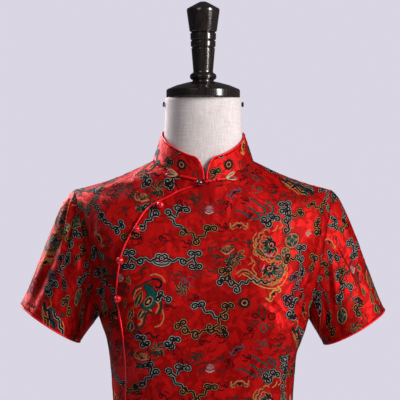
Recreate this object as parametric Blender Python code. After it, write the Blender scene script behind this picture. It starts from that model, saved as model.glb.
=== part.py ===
"""Short-sleeved cheongsam on a limbless dress form.

The dress is cut as a front that closes over a right underlap, a back, two set-in sleeves and a
stand collar, with corded piping, a frog at the throat and four ball buttons. It hangs from the
shoulders of a linen-covered form on a turned cap, a pole and a round base.

Metres, +Z up, the front faces -Y, and the origin is on the floor under the middle of the dress.
The wearer's right is -X.
"""

import math
from collections import namedtuple

import bmesh
import bpy
from mathutils import Vector
from mathutils.bvhtree import BVHTree

for leftover in list(bpy.data.objects):
    bpy.data.objects.remove(leftover)

# ---------------------------------------------------------------- driving sizes

WALL = 0.0015  # dress cloth with its facing
COLLAR_WALL = 0.0018  # interfaced collar
GAP = 0.0003  # between pieces at a seam
PIPING_R = 0.0014
BUTTON_R = 0.0055

HEM_Z = 0.330
SLIT_TOP_Z = 0.610
UNDERARM_Z = 1.150
NECK_SIDE_Z = 1.380
SLIT_SPREAD = 0.004  # how far each slit edge stands off the side line at the hem

FRONT, BACK = 1, -1
RIGHT, LEFT = -1, 1  # the wearer's, as a sign of X
QUARTER = math.pi / 2

# Sections of the dress. full swells a section halfway between its middle and its side.
Level = namedtuple("Level", "z half_width front back full_front full_back")
LEVELS = (
    Level(0.330, 0.1890, 0.1130, 0.1160, 0.010, 0.010),
    Level(0.470, 0.1865, 0.1130, 0.1170, 0.010, 0.010),
    Level(0.640, 0.1850, 0.1150, 0.1210, 0.009, 0.011),
    Level(0.790, 0.1800, 0.1160, 0.1230, 0.008, 0.013),
    Level(0.880, 0.1620, 0.1110, 0.1090, 0.005, 0.010),
    Level(0.985, 0.1345, 0.0990, 0.0820, 0.004, 0.004),
    Level(1.055, 0.1360, 0.1080, 0.0860, 0.013, 0.005),
    Level(1.115, 0.1430, 0.1190, 0.0930, 0.027, 0.006),
    Level(1.150, 0.1550, 0.1210, 0.0960, 0.024, 0.007),
    Level(1.200, 0.1640, 0.1160, 0.0980, 0.014, 0.007),
    Level(1.250, 0.1730, 0.1030, 0.0950, 0.007, 0.006),
    Level(1.310, 0.1850, 0.0850, 0.0810, 0.003, 0.005),
    Level(1.335, 0.1910, 0.0780, 0.0730, 0.002, 0.004),
)
FULL_SHARE = 0.6  # how much of the swelling also goes sideways

# The armhole is an oval from the underarm up to the shoulder tip.
ARMHOLE_HEIGHT = 0.187
ARMHOLE_LOW_X = 0.155
ARMHOLE_SPREAD = 0.036
ARMHOLE_FRONT, ARMHOLE_BACK = 0.055, 0.050
ARMHOLE_SKEW = 0.15
ARMHOLE_LEAN = 0.75  # sideways share of the walls' direction at the shoulder tip
Sweep = namedtuple("Sweep", "up degrees")
SWEEPS = (  # how far a chest section turns from its middle to the armhole
    Sweep(0.00, 90),
    Sweep(0.20, 75),
    Sweep(0.50, 70),
    Sweep(0.80, 71),
    Sweep(1.00, 79),
)
MIDDLE_RISE = {FRONT: 0.160, BACK: 0.185}  # from the underarm level to the shoulder line's middle

# The neckline is an oval that dips at the throat.
NECK_HALF = 0.0750
NECK_DEPTH = {FRONT: 0.070, BACK: 0.062}
NECK_RISE = {FRONT: -0.030, BACK: 0.012}
SHOULDER_SAG = 0.0045

# The front's free edge, from the throat to the right side seam above the slit.
Edge = namedtuple("Edge", "x z")
PLACKET = (
    Edge(-0.0020, 1.3500),
    Edge(-0.0148, 1.3423),
    Edge(-0.0384, 1.3337),
    Edge(-0.0572, 1.3239),
    Edge(-0.0711, 1.3174),
    Edge(-0.0805, 1.3115),
    Edge(-0.0880, 1.3037),
    Edge(-0.0994, 1.2868),
    Edge(-0.1125, 1.2637),
    Edge(-0.1215, 1.2423),
    Edge(-0.1262, 1.2180),
    Edge(-0.1290, 1.1897),
    Edge(-0.1272, 1.1702),
    Edge(-0.1225, 1.1449),
    Edge(-0.1184, 1.1148),
    Edge(-0.1152, 1.0770),
    Edge(-0.1150, 1.0335),
    Edge(-0.1180, 0.9850),
    Edge(-0.1420, 0.8850),
    Edge(-0.1670, 0.7900),
    Edge(-0.1780, 0.7300),
    Edge(-0.1870, 0.6650),
)
PLACKET_END_Z = 0.660
PIPING_TOP_Z = 1.3430  # the frog hides the edge above
PIPING_END_Z = 0.700
LAP_WIDTH = 0.012  # how far the underlap reaches under the front
LAP_DROP = 0.0028  # how far it lies below the front's outer face
LAP_FADE = 0.020

# Soft folds of the cloth: a line in the front view, how wide and how deep. They fade at the ends.
Fold = namedtuple("Fold", "x0 z0 x1 z1 width depth")
FRONT_FOLDS = (
    Fold(0.158, 1.262, 0.140, 1.150, 0.012, -0.0035),
    Fold(0.168, 1.215, 0.128, 1.085, 0.009, 0.0030),
    Fold(0.142, 1.135, 0.118, 1.000, 0.008, -0.0025),
    Fold(-0.160, 1.262, -0.144, 1.165, 0.012, -0.0035),
    Fold(0.084, 1.085, 0.078, 0.900, 0.007, -0.0014),
    Fold(-0.084, 1.085, -0.078, 0.900, 0.007, -0.0014),
    Fold(0.118, 1.128, 0.152, 1.150, 0.008, -0.0014),
    Fold(0.060, 0.960, -0.050, 0.935, 0.012, -0.0016),
)
BACK_FOLDS = (
    Fold(-0.155, 1.255, -0.138, 1.140, 0.012, -0.0030),
    Fold(0.155, 1.255, 0.138, 1.140, 0.012, -0.0030),
    Fold(-0.070, 1.105, -0.068, 0.870, 0.008, -0.0016),
    Fold(0.070, 1.105, 0.068, 0.870, 0.008, -0.0016),
    Fold(-0.055, 1.020, 0.055, 1.010, 0.012, -0.0020),
)
FOLD_FADE = 0.25  # share of a fold's length
EDGE_BAND = 0.995  # in across, as are the next two
SEAM_BAND = 0.97
SEAM_FADE = 0.14  # folds end here, so that the seams stay true

# Sleeves. Each hem is an oval ring: its outer and inner points in the front view, and its depth.
Cuff = namedtuple("Cuff", "outer_x outer_z inner_x inner_z half_depth dip")
CUFFS = {
    LEFT: Cuff(0.2708, 1.1605, 0.1800, 1.1080, 0.0570, 0.004),
    RIGHT: Cuff(-0.2708, 1.1690, -0.1825, 1.1120, 0.0570, 0.004),
}
CAP_PULL = 0.058  # how far the sleeve head runs out from the shoulder before it falls
CUFF_PULL = 0.120
SLEEVE_FOLDS = {  # (angle round from the underarm in degrees, width in degrees, depth)
    LEFT: ((122, 13, -0.0040), (60, 14, -0.0028), (250, 16, -0.0035)),
    RIGHT: ((136, 11, -0.0048), (64, 14, -0.0028), (250, 16, -0.0035)),
}

Stand = namedtuple("Stand", "degrees height")
COLLAR_STANDS = (  # the collar's height, from the throat round to the nape
    Stand(0, 0.0325),
    Stand(50, 0.0320),
    Stand(72, 0.0345),
    Stand(90, 0.0388),
    Stand(120, 0.0420),
    Stand(180, 0.0430),
)
COLLAR_SLOPE = 0.33  # how far it leans in for each metre up
COLLAR_CORNER = 0.0180  # radius of its rounded front corners
COLLAR_BLUNT = 0.0004  # how much of the corner's sharp foot is cut away
COLLAR_SPLIT = 0.0036  # half the gap between the collar's two ends, which the piping fills

# Mesh density
CHEST_ROWS = 12
YOKE_ROWS = 7
FRONT_COLUMNS = 22
BACK_COLUMNS = 20
LAP_COLUMNS = 10
LOW_ROWS_Z = (
    0.330, 0.400, 0.470, 0.540, 0.609, 0.660, 0.710, 0.760, 0.805, 0.850, 0.890,
    0.925, 0.955, 0.985, 1.010, 1.035, 1.058, 1.080, 1.100, 1.118, 1.135, 1.150,
)
EDGE_CROWDING = 0.25
SLEEVE_RINGS = 7
NECK_COLUMNS = 36
CORNER_COLUMNS = 8
COLLAR_ROWS = 4

# The form and its stand
FORM_BOTTOM_Z = 0.800
FORM_COLUMNS = 13
FORM_SIDE = 0.97  # the form's panels stop short of the side line, which leaves a narrow side facet
FormGap = namedtuple("FormGap", "z gap")
FORM_GAPS = (
    FormGap(0.800, 0.010),
    FormGap(0.900, 0.011),
    FormGap(0.985, 0.010),
    FormGap(1.060, 0.007),
    FormGap(1.115, 0.005),
    FormGap(1.150, 0.005),
)
CHEST_CLEARANCE = 0.005
SHOULDER_CLEARANCE = 0.0007
NECK_TOP_Z = 1.4739
POLE_R = 0.0140
BASE_R = 0.175

# Cap and finial, turned in one piece: radius and height of each point, bottom to top.
Turn = namedtuple("Turn", "r z")
CAP_PROFILE = (
    Turn(0.0540, 1.4742),
    Turn(0.0548, 1.4752),
    Turn(0.0548, 1.4852),
    Turn(0.0532, 1.4870),
    Turn(0.0400, 1.4925),
    Turn(0.0240, 1.4968),
    Turn(0.0160, 1.4985),
    Turn(0.0158, 1.5005),
    Turn(0.0188, 1.5020),
    Turn(0.0201, 1.5056),
    Turn(0.0188, 1.5092),
    Turn(0.0150, 1.5115),
    Turn(0.0148, 1.5140),
    Turn(0.0176, 1.5475),
    Turn(0.0160, 1.5492),
    Turn(0.0184, 1.5505),
    Turn(0.0186, 1.5580),
    Turn(0.0166, 1.5595),
    Turn(0.0190, 1.5610),
    Turn(0.0192, 1.5698),
    Turn(0.0172, 1.5714),
    Turn(0.0203, 1.5733),
    Turn(0.0245, 1.6035),
    Turn(0.0240, 1.6068),
    Turn(0.0080, 1.6155),
    Turn(0.0040, 1.6172),
)
BASE_PROFILE = (
    Turn(BASE_R - 0.002, 0.0000),
    Turn(BASE_R, 0.0020),
    Turn(BASE_R, 0.0160),
    Turn(BASE_R - 0.005, 0.0200),
    Turn(0.0600, 0.0260),
    Turn(0.0330, 0.0330),
    Turn(0.0260, 0.0520),
)
SOCKET_PROFILE = (
    Turn(0.0200, FORM_BOTTOM_Z - 0.0333),
    Turn(0.0240, FORM_BOTTOM_Z - 0.0303),
    Turn(0.0240, FORM_BOTTOM_Z - 0.0133),
    Turn(0.0700, FORM_BOTTOM_Z - 0.0093),
    Turn(0.0700, FORM_BOTTOM_Z - 0.0003),
)

# ---------------------------------------------------------------- materials


def material(name, colour, roughness, metallic=0.0):
    made = bpy.data.materials.new(name)
    made.use_nodes = True
    shader = made.node_tree.nodes["Principled BSDF"]
    shader.inputs["Base Color"].default_value = (*colour, 1)
    shader.inputs["Roughness"].default_value = roughness
    shader.inputs["Metallic"].default_value = metallic
    return made


BROCADE = material("brocade", (0.42, 0.012, 0.012), 0.45)
SATIN = material("red_satin", (0.75, 0.012, 0.02), 0.35)
BEAD = material("red_bead", (0.70, 0.008, 0.015), 0.12)
LINEN = material("linen", (0.72, 0.66, 0.61), 0.85)
LACQUER = material("black_lacquer", (0.012, 0.010, 0.010), 0.22)
STEEL = material("black_steel", (0.02, 0.02, 0.02), 0.35, 0.8)

# ---------------------------------------------------------------- curves through tables


def through(rows, key, value, at):
    """value at the place at along key, on a smooth curve through the rows, which ascend in key."""
    if at <= getattr(rows[0], key):
        return getattr(rows[0], value)
    if at >= getattr(rows[-1], key):
        return getattr(rows[-1], value)
    i = next(i for i in range(len(rows) - 1) if at <= getattr(rows[i + 1], key))
    places = [getattr(row, key) for row in rows]
    values = [getattr(row, value) for row in rows]
    span = places[i + 1] - places[i]

    def slope(j):
        low, high = max(j - 1, 0), min(j + 1, len(rows) - 1)
        return (values[high] - values[low]) / (places[high] - places[low])

    t = (at - places[i]) / span
    return (
        (1 + 2 * t) * (1 - t) ** 2 * values[i]
        + t * (1 - t) ** 2 * span * slope(i)
        + t * t * (3 - 2 * t) * values[i + 1]
        - t * t * (1 - t) * span * slope(i + 1)
    )


def smooth(t):
    t = min(max(t, 0), 1)
    return t * t * (3 - 2 * t)


# ---------------------------------------------------------------- the dress's own surface
# A place on it is (side, across, up). across runs from -1 to 1 between the side lines. up is metres
# below the underarm when negative, 0 to 1 along the armhole, and 1 to 2 from there to the neckline.


def armhole(turn):
    """Point of the left armhole. turn is 0 at the underarm, pi at the shoulder tip, by the front."""
    rise = (1 - math.cos(turn)) / 2
    reach = ARMHOLE_FRONT if math.sin(turn) >= 0 else ARMHOLE_BACK
    depth = reach * math.sin(turn) * (1 + ARMHOLE_SKEW * math.cos(turn))
    return Vector((ARMHOLE_LOW_X + ARMHOLE_SPREAD * rise, -depth, UNDERARM_Z + ARMHOLE_HEIGHT * rise))


def section_point(side, across, up):
    """Point on the section at up, which is at most 1."""
    if up <= 0:
        middle_z = edge_z = UNDERARM_Z + up
        half, edge_depth, turn = through(LEVELS, "z", "half_width", middle_z), 0, QUARTER
    else:
        edge = armhole(math.pi * up if side == FRONT else -math.pi * up)
        middle_z, edge_z = UNDERARM_Z + MIDDLE_RISE[side] * up, edge.z
        half, edge_depth = edge.x, -side * edge.y
        turn = math.radians(through(SWEEPS, "up", "degrees", up))
    view = "front" if side == FRONT else "back"
    depth = through(LEVELS, "z", view, middle_z)
    swell = through(LEVELS, "z", "full_" + view, middle_z) * math.sin(math.pi * across) ** 2
    bend = (1 - math.cos(across * turn)) / (1 - math.cos(turn))
    x = half * math.sin(across * turn) / math.sin(turn)
    return Vector(
        (
            x + math.copysign(FULL_SHARE * swell, across),
            -side * (depth * (1 - bend) + edge_depth * bend + swell),
            middle_z + (edge_z - middle_z) * smooth(abs(across)),
        )
    )


def neckline(side, across):
    turn = across * QUARTER
    return Vector(
        (
            NECK_HALF * math.sin(turn),
            -side * NECK_DEPTH[side] * math.cos(turn),
            NECK_SIDE_Z + NECK_RISE[side] * math.cos(turn) ** 2,
        )
    )


def smooth_body(side, across, up):
    """The dress's outer face before its folds."""
    low = section_point(side, across, min(up, 1))
    if up <= 1:
        return low
    share = up - 1
    point = low.lerp(neckline(side, across), share)
    point.z -= SHOULDER_SAG * math.sin(math.pi * share) * across * across
    return point


def normal_of(surface, u, v, step_u=0.01, step_v=0.01):
    along_u = surface(u + step_u, v) - surface(u - step_u, v)
    along_v = surface(u, v + step_v) - surface(u, v - step_v)
    return along_u.cross(along_v).normalized()


def sleeve_point(hand, turn, down):
    """turn is 0 at the underarm and pi at the shoulder tip, by the front. down is 0 to 1."""
    cuff = CUFFS[hand]
    start = armhole(turn)
    start.x *= hand
    outer = Vector((cuff.outer_x, 0, cuff.outer_z))
    inner = Vector((cuff.inner_x, 0, cuff.inner_z))
    across_cuff = (outer - inner) / 2
    fall = Vector((across_cuff.z * hand, 0, -across_cuff.x * hand)).normalized()
    end = (outer + inner) / 2 - across_cuff * math.cos(turn)
    end += Vector((0, -cuff.half_depth, 0)) * math.sin(turn) + fall * cuff.dip * math.sin(turn)
    top = (1 - math.cos(turn)) / 2
    reach = (end - start).length
    leave = Vector((hand * CAP_PULL, 0, 0)) * top + (end - start) * (1 - 0.85 * top)
    arrive = fall * (CUFF_PULL * top + reach * (1 - top))
    t = down
    point = (
        start * ((1 + 2 * t) * (1 - t) ** 2)
        + leave * (t * (1 - t) ** 2)
        + end * (t * t * (3 - 2 * t))
        - arrive * (t * t * (1 - t))
    )
    return point


def sleeve_normal(hand, turn, down):
    return normal_of(lambda u, v: sleeve_point(hand, u, v), turn, down, 0.03, 0.02) * -hand


def fold_depth(side, across, point):
    folds = FRONT_FOLDS if side == FRONT else BACK_FOLDS
    total = 0
    for fold in folds:
        run = Vector((fold.x1 - fold.x0, fold.z1 - fold.z0))
        place = Vector((point.x - fold.x0, point.z - fold.z0))
        along = place.dot(run) / run.length_squared
        off = abs(place.x * run.y - place.y * run.x) / run.length
        ends = smooth(min(along, 1 - along) / FOLD_FADE)
        total += fold.depth * ends * math.exp(-((off / fold.width) ** 2))
    return total * smooth((1 - abs(across)) / SEAM_FADE)


def body_normal(side, across, up):
    step_up = 0.01 if up > 0 else 0.003
    return normal_of(lambda u, v: smooth_body(side, u, v), across, up, 0.01, step_up) * side


def armhole_normal(hand, turn):
    """The way the walls' thickness runs at the armhole, shared by the sleeve and the panels."""
    sideways = hand * ARMHOLE_LEAN * math.sin(turn / 2)
    return Vector((sideways, -math.sin(turn), -math.cos(turn))).normalized()


def wall_normal(side, across, up):
    if abs(across) > EDGE_BAND and 0 < up <= 1:
        return armhole_normal(math.copysign(1, across), math.pi * (up if side == FRONT else 2 - up))
    normal = body_normal(side, across, up)
    if abs(across) > SEAM_BAND:
        normal.y = 0  # front and back agree at the side and shoulder seams
    return normal.normalized()


def body(side, across, up, inset=0.0):
    """A point of the dress with its folds, inset below its outer face."""
    point = smooth_body(side, across, up)
    lift = body_normal(side, across, up) * fold_depth(side, across, point)
    return point + lift - wall_normal(side, across, up) * inset


def per_across(side, across, up):
    """Metres of cloth to one unit of across."""
    return (smooth_body(side, across + 0.005, up) - smooth_body(side, across - 0.005, up)).length / 0.01


def placket_across(up):
    """Where the placket crosses the row at up."""
    edges = tuple(reversed(PLACKET))
    low, high = -1.0, 0.0
    for _ in range(40):
        middle = (low + high) / 2
        point = smooth_body(FRONT, middle, up)
        if point.x < through(edges, "z", "x", point.z):
            low = middle
        else:
            high = middle
    return high


def side_limit(side, up):
    """The largest across of a panel at up: just short of a seam, further back on a slit."""
    if 0 < up < 1:
        return 1.0
    stand_off = GAP / 2
    z = UNDERARM_Z + up
    if z < SLIT_TOP_Z:
        stand_off += SLIT_SPREAD * smooth((SLIT_TOP_Z - z) / (SLIT_TOP_Z - HEM_Z))
    return 1.0 - stand_off / per_across(side, 0.99, up)


LOW_UPS = [z - UNDERARM_Z for z in LOW_ROWS_Z]
CHEST_UPS = [row / CHEST_ROWS for row in range(1, CHEST_ROWS + 1)]
YOKE_UPS = [1 + row / YOKE_ROWS for row in range(1, YOKE_ROWS + 1)]
ALL_UPS = LOW_UPS + CHEST_UPS + YOKE_UPS

# ---------------------------------------------------------------- making solids


def add_object(name, mesh, look):
    mesh.materials.append(look)
    made = bpy.data.objects.new(name, mesh)
    bpy.context.scene.collection.objects.link(made)
    return made


def finish_mesh(name, bm, look):
    bmesh.ops.recalc_face_normals(bm, faces=bm.faces)
    mesh = bpy.data.meshes.new(name)
    bm.to_mesh(mesh)
    bm.free()
    mesh.shade_smooth()
    mesh.set_sharp_from_angle(angle=math.radians(50))
    return add_object(name, mesh, look)


def add_wall(name, outer, inner, look, closed=False):
    """A solid between two like grids of points. closed joins the last column to the first."""
    bm = bmesh.new()
    faces = [[[bm.verts.new(point) for point in row] for row in grid] for grid in (outer, inner)]
    rows, columns = len(outer), len(outer[0])
    spans = [(j, (j + 1) % columns) for j in range(columns if closed else columns - 1)]
    for i in range(rows - 1):
        for j, k in spans:
            for grid in faces:
                bm.faces.new((grid[i][j], grid[i][k], grid[i + 1][k], grid[i + 1][j]))
    top, under = faces
    for i in (0, rows - 1):
        for j, k in spans:
            bm.faces.new((top[i][j], top[i][k], under[i][k], under[i][j]))
    if not closed:
        for j in (0, columns - 1):
            for i in range(rows - 1):
                bm.faces.new((top[i][j], top[i + 1][j], under[i + 1][j], under[i][j]))
    return finish_mesh(name, bm, look)


def add_rings(name, rings, look):
    """A solid skinned over rings of points, capped at both ends."""
    bm = bmesh.new()
    loops = [[bm.verts.new(point) for point in ring] for ring in rings]
    for low, high in zip(loops, loops[1:]):
        for j in range(len(low)):
            k = (j + 1) % len(low)
            bm.faces.new((low[j], low[k], high[k], high[j]))
    bm.faces.new(loops[0])
    bm.faces.new(loops[-1])
    return finish_mesh(name, bm, look)


def add_turned(name, profile, look, steps=24, x=0.0, y=0.0):
    rings = [
        [
            Vector((x + r * math.cos(a), y + r * math.sin(a), z))
            for a in (2 * math.pi * i / steps for i in range(steps))
        ]
        for r, z in profile
    ]
    return add_rings(name, rings, look)


def add_piping(name, points, look, closed=False, radius=PIPING_R, resolution=1):
    """A round cord through the points."""
    curve = bpy.data.curves.new(name, "CURVE")
    curve.dimensions = "3D"
    curve.bevel_depth = radius
    curve.bevel_resolution = resolution
    curve.use_fill_caps = not closed
    line = curve.splines.new("POLY")
    line.points.add(len(points) - 1)
    for place, point in zip(line.points, points):
        place.co = (*point, 1)
    line.use_cyclic_u = closed
    line.use_smooth = True
    return add_object(name, curve, look)


def spread(low, high, t):
    """A place between low and high for t from -1 to 1, with the places closer near both ends."""
    eased = t * (1 + EDGE_CROWDING * (1 - t * t))
    return low + (high - low) * (eased + 1) / 2


def panel_grids(side, ups, limits, columns, inset_of, wall=WALL):
    """Outer and inner points of a panel whose rows run between the limits at each up."""
    outer, inner = [], []
    for up, (low, high) in zip(ups, limits):
        acrosses = [spread(low, high, 2 * j / columns - 1) for j in range(columns + 1)]
        outer.append([body(side, a, up, inset_of(a, up)) for a in acrosses])
        inner.append([body(side, a, up, inset_of(a, up) + wall) for a in acrosses])
    return outer, inner


# ---------------------------------------------------------------- front, underlap and back


def no_inset(across, up):
    return 0.0


def front_limits(up):
    """The front runs from its placket edge, or the right side seam below it, to the left."""
    left = side_limit(FRONT, up)
    if UNDERARM_Z + up < PLACKET_END_Z:
        return -side_limit(FRONT, up), left
    return max(placket_across(up), -side_limit(FRONT, up)), left


def lap_limits(up):
    edge = front_limits(up)[0]
    reach = edge + LAP_WIDTH / per_across(FRONT, edge, up)
    return -side_limit(FRONT, up), reach


def lap_inset(across, up):
    """The underlap lies lower where the front and its piping pass over it."""
    edge = front_limits(up)[0]
    clear = (edge - across) * per_across(FRONT, across, up) - 3 * PIPING_R
    return LAP_DROP * (1 - smooth(clear / LAP_FADE))


front = add_wall(
    "front",
    *panel_grids(FRONT, ALL_UPS, [front_limits(up) for up in ALL_UPS], FRONT_COLUMNS, no_inset),
    BROCADE,
)
LAP_UPS = [up for up in ALL_UPS if UNDERARM_Z + up >= PLACKET_END_Z]
right_underlap = add_wall(
    "right_underlap",
    *panel_grids(FRONT, LAP_UPS, [lap_limits(up) for up in LAP_UPS], LAP_COLUMNS, lap_inset),
    BROCADE,
)
back_limits = [(-side_limit(BACK, up), side_limit(BACK, up)) for up in ALL_UPS]
back = add_wall(
    "back",
    *panel_grids(BACK, ALL_UPS, back_limits, BACK_COLUMNS, no_inset),
    BROCADE,
)

# ---------------------------------------------------------------- sleeves


def sleeve(hand, turn, down, inset=0.0):
    normal = sleeve_normal(hand, turn, down)
    depth = 0
    for middle, width, deep in SLEEVE_FOLDS[hand]:
        off = (math.degrees(turn) - middle) / width
        depth += deep * math.exp(-off * off) * math.sin(math.pi * min(down * 0.8, 1)) ** 2
    wall = armhole_normal(hand, turn) if down < 0.02 else normal
    return sleeve_point(hand, turn, down) + normal * depth - wall * inset


def seam_start(hand, turn):
    """The share of the sleeve's length that the seam gap takes."""
    return GAP / (sleeve_point(hand, turn, 0.02) - sleeve_point(hand, turn, 0)).length * 0.02


SLEEVE_TURNS = [math.pi * step / CHEST_ROWS for step in range(2 * CHEST_ROWS)]
for hand, label in ((LEFT, "left"), (RIGHT, "right")):
    walls = []
    for inset in (0.0, WALL):
        rings = []
        for ring in range(SLEEVE_RINGS + 1):
            share = ring / SLEEVE_RINGS
            rings.append(
                [
                    sleeve(hand, turn, seam_start(hand, turn) * (1 - share) + share, inset)
                    for turn in SLEEVE_TURNS
                ]
            )
        walls.append(rings)
    add_wall(f"sleeve_{label}", *walls, BROCADE, closed=True)
    cuff_line = []
    for turn in (2 * math.pi * i / 24 for i in range(24)):
        edge, before = sleeve(hand, turn, 1, WALL / 2), sleeve(hand, turn, 0.97, WALL / 2)
        cuff_line.append(edge + (edge - before).normalized() * (PIPING_R + GAP))
    add_piping(f"cuff_piping_{label}", cuff_line, SATIN, closed=True)

# ---------------------------------------------------------------- collar and its piping


def collar_place(turn):
    """(side, across) of the neckline at turn, which is 0 at the throat and pi at the nape."""
    wrapped = (turn + math.pi) % (2 * math.pi) - math.pi
    if abs(wrapped) <= QUARTER:
        return FRONT, wrapped / QUARTER
    return BACK, math.copysign(2 - abs(wrapped) / QUARTER, wrapped)


def collar_point(turn, height, inset=0.0):
    base = neckline(*collar_place(turn))
    inwards = Vector((-base.x, -base.y, 0)).normalized()
    return base + inwards * (COLLAR_SLOPE * height + inset) + Vector((0, 0, GAP + height))


def collar_height(turn):
    around = min(turn, 2 * math.pi - turn)
    from_end = around * NECK_HALF - COLLAR_SPLIT + COLLAR_BLUNT
    corner = math.sqrt(1 - (1 - min(from_end / COLLAR_CORNER, 1)) ** 2)
    return through(COLLAR_STANDS, "degrees", "height", math.degrees(around)) * corner


def collar_turns():
    """Turns round the collar, closer together at the rounded front corners."""
    first = COLLAR_SPLIT / NECK_HALF
    reach = 1.15 * COLLAR_CORNER / NECK_HALF
    corner = [first + reach * (i / CORNER_COLUMNS) ** 1.7 for i in range(CORNER_COLUMNS)]
    around = 2 * (math.pi - first - reach)
    rest = [first + reach + around * i / NECK_COLUMNS for i in range(NECK_COLUMNS + 1)]
    return corner + rest + [2 * math.pi - turn for turn in reversed(corner)]


EDGE_TURNS = collar_turns()
collar_walls = []
for inset in (0.0, COLLAR_WALL):
    collar_walls.append(
        [
            [collar_point(turn, collar_height(turn) * row / COLLAR_ROWS, inset) for turn in EDGE_TURNS]
            for row in range(COLLAR_ROWS + 1)
        ]
    )
collar = add_wall("collar", *collar_walls, BROCADE)

collar_edge = [collar_point(turn, collar_height(turn), COLLAR_WALL / 2) for turn in EDGE_TURNS]
collar_edge.insert(0, collar_point(EDGE_TURNS[0], 2 * GAP, COLLAR_WALL / 2))
collar_edge.append(collar_point(EDGE_TURNS[-1], 2 * GAP, COLLAR_WALL / 2))
collar_line = []
for i, point in enumerate(collar_edge):
    run = collar_edge[min(i + 1, len(collar_edge) - 1)] - collar_edge[max(i - 1, 0)]
    outwards = Vector((point.x, point.y, 0)).normalized()
    collar_line.append(point + outwards.cross(run).normalized() * (PIPING_R + 1.6 * GAP))
collar_piping = add_piping("collar_piping", collar_line, SATIN)

# ---------------------------------------------------------------- placket piping

PLACKET_UPS = [up for up in ALL_UPS if UNDERARM_Z + up >= PLACKET_END_Z]
edge_acrosses = [front_limits(up)[0] for up in PLACKET_UPS]
edge_line = [body(FRONT, across, up) for across, up in zip(edge_acrosses, PLACKET_UPS)]
placket_line = []
for i in range(1, len(edge_line) - 1):
    run = edge_line[i + 1] - edge_line[i - 1]
    away = run.cross(body_normal(FRONT, edge_acrosses[i], PLACKET_UPS[i])).normalized()
    if PIPING_END_Z < edge_line[i].z < PIPING_TOP_Z:
        placket_line.append(edge_line[i] - away * (PIPING_R + GAP))
placket_line.append(placket_line[-1].lerp(edge_line[-1] + (placket_line[-1] - edge_line[-2]), 0.5))
placket_piping = add_piping("placket_piping", placket_line, SATIN)

# ---------------------------------------------------------------- buttons and frog


def tree_of(*objects):
    graph = bpy.context.evaluated_depsgraph_get()
    bpy.context.view_layer.update()
    return [BVHTree.FromObject(item, graph) for item in objects]


CLOTH = tree_of(front, right_underlap, collar, collar_piping, placket_piping)


def on_cloth(x, z):
    """How far back the cloth lies behind (x, z)."""
    hits = [tree.ray_cast(Vector((x, -0.4, z)), Vector((0, 1, 0)))[0] for tree in CLOTH]
    return min([hit.y for hit in hits if hit is not None and hit.y < 0], default=0.0)


def settle(x, z, radius):
    """The place of a ball at (x, z) that has come back until it is a gap away from the cloth."""
    centre = Vector((x, -0.2, z))
    for _ in range(60):
        near = min(tree.find_nearest(centre)[3] for tree in CLOTH)
        centre.y += near - radius - GAP
    return centre


def add_ball(name, centre, radius):
    bm = bmesh.new()
    bmesh.ops.create_uvsphere(bm, u_segments=12, v_segments=8, radius=radius)
    bmesh.ops.translate(bm, vec=centre, verts=bm.verts)
    finish_mesh(name, bm, BEAD)


Button = namedtuple("Button", "x z")
BUTTONS = (
    Button(-0.0662, 1.3146),
    Button(-0.1010, 1.2795),
    Button(-0.1250, 1.2345),
    Button(-0.1285, 1.1790),
)
for number, (x, z) in enumerate(BUTTONS, 1):
    add_ball(f"button_{number}", settle(x, z, BUTTON_R), BUTTON_R)

# Each half of the frog is a cord that ends in two petals, an upper and a lower one.
FROG_CORD_R = 0.0019
Petal = namedtuple("Petal", "x z half_width")
FrogHalf = namedtuple("FrogHalf", "knot_x knot_z fork_x fork_z petals")
FROG = {
    "right": FrogHalf(
        -0.0128, 1.3520, -0.0385, 1.3576, (Petal(-0.0548, 1.3680, 0.0031), Petal(-0.0574, 1.3588, 0.0031))
    ),
    "left": FrogHalf(
        -0.0020, 1.3487, 0.0283, 1.3532, (Petal(0.0447, 1.3640, 0.0031), Petal(0.0477, 1.3535, 0.0031))
    ),
}
KNOT = Button(-0.0085, 1.3470)
KNOT_R = 0.0050


def add_strap(name, start, end, widths, thick, first):
    """A flat-bottomed strip over the cloth from start to end, both (x, z), with a rounded section."""
    run = Vector((end[0] - start[0], 0, end[1] - start[1]))
    across = Vector((-run.z, 0, run.x)).normalized()
    rings = []
    for i, width in enumerate(widths):
        place = Vector((start[0], 0, start[1])) + run * (first + (1 - first) * i / (len(widths) - 1))
        spots = [place + across * (width * s) for s in (-1, -0.5, 0, 0.5, 1)]
        seat = min(on_cloth(spot.x, spot.z) for spot in spots) - GAP
        rings.append(
            [
                place + across * (width * math.cos(a)) + Vector((0, seat - thick - thick * math.sin(a), 0))
                for a in (2 * math.pi * k / 10 for k in range(10))
            ]
        )
    add_rings(name, rings, SATIN)


for label, half in FROG.items():
    fork = (half.fork_x, half.fork_z)
    add_strap(f"frog_{label}_cord", (half.knot_x, half.knot_z), fork, [FROG_CORD_R] * 6, FROG_CORD_R, 0.0)
    for petal, level in zip(half.petals, ("upper", "lower")):
        widths = [petal.half_width * w for w in (0.35, 0.62, 0.86, 1.0, 0.95, 0.72, 0.40)]
        add_strap(f"frog_{label}_petal_{level}", fork, (petal.x, petal.z), widths, 0.0014, 0.24)

add_ball("frog_knot", settle(KNOT.x, KNOT.z, KNOT_R), KNOT_R)

# ---------------------------------------------------------------- the form


def form_inset(across, up):
    if up <= 0:
        return WALL + through(FORM_GAPS, "z", "gap", UNDERARM_Z + up)
    chest = CHEST_CLEARANCE
    if up <= 1:
        return WALL + chest
    ridge = smooth((abs(across) - 0.55) / 0.40) * smooth((up - 1) / 0.25)
    return WALL + chest + (SHOULDER_CLEARANCE - chest) * ridge


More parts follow.
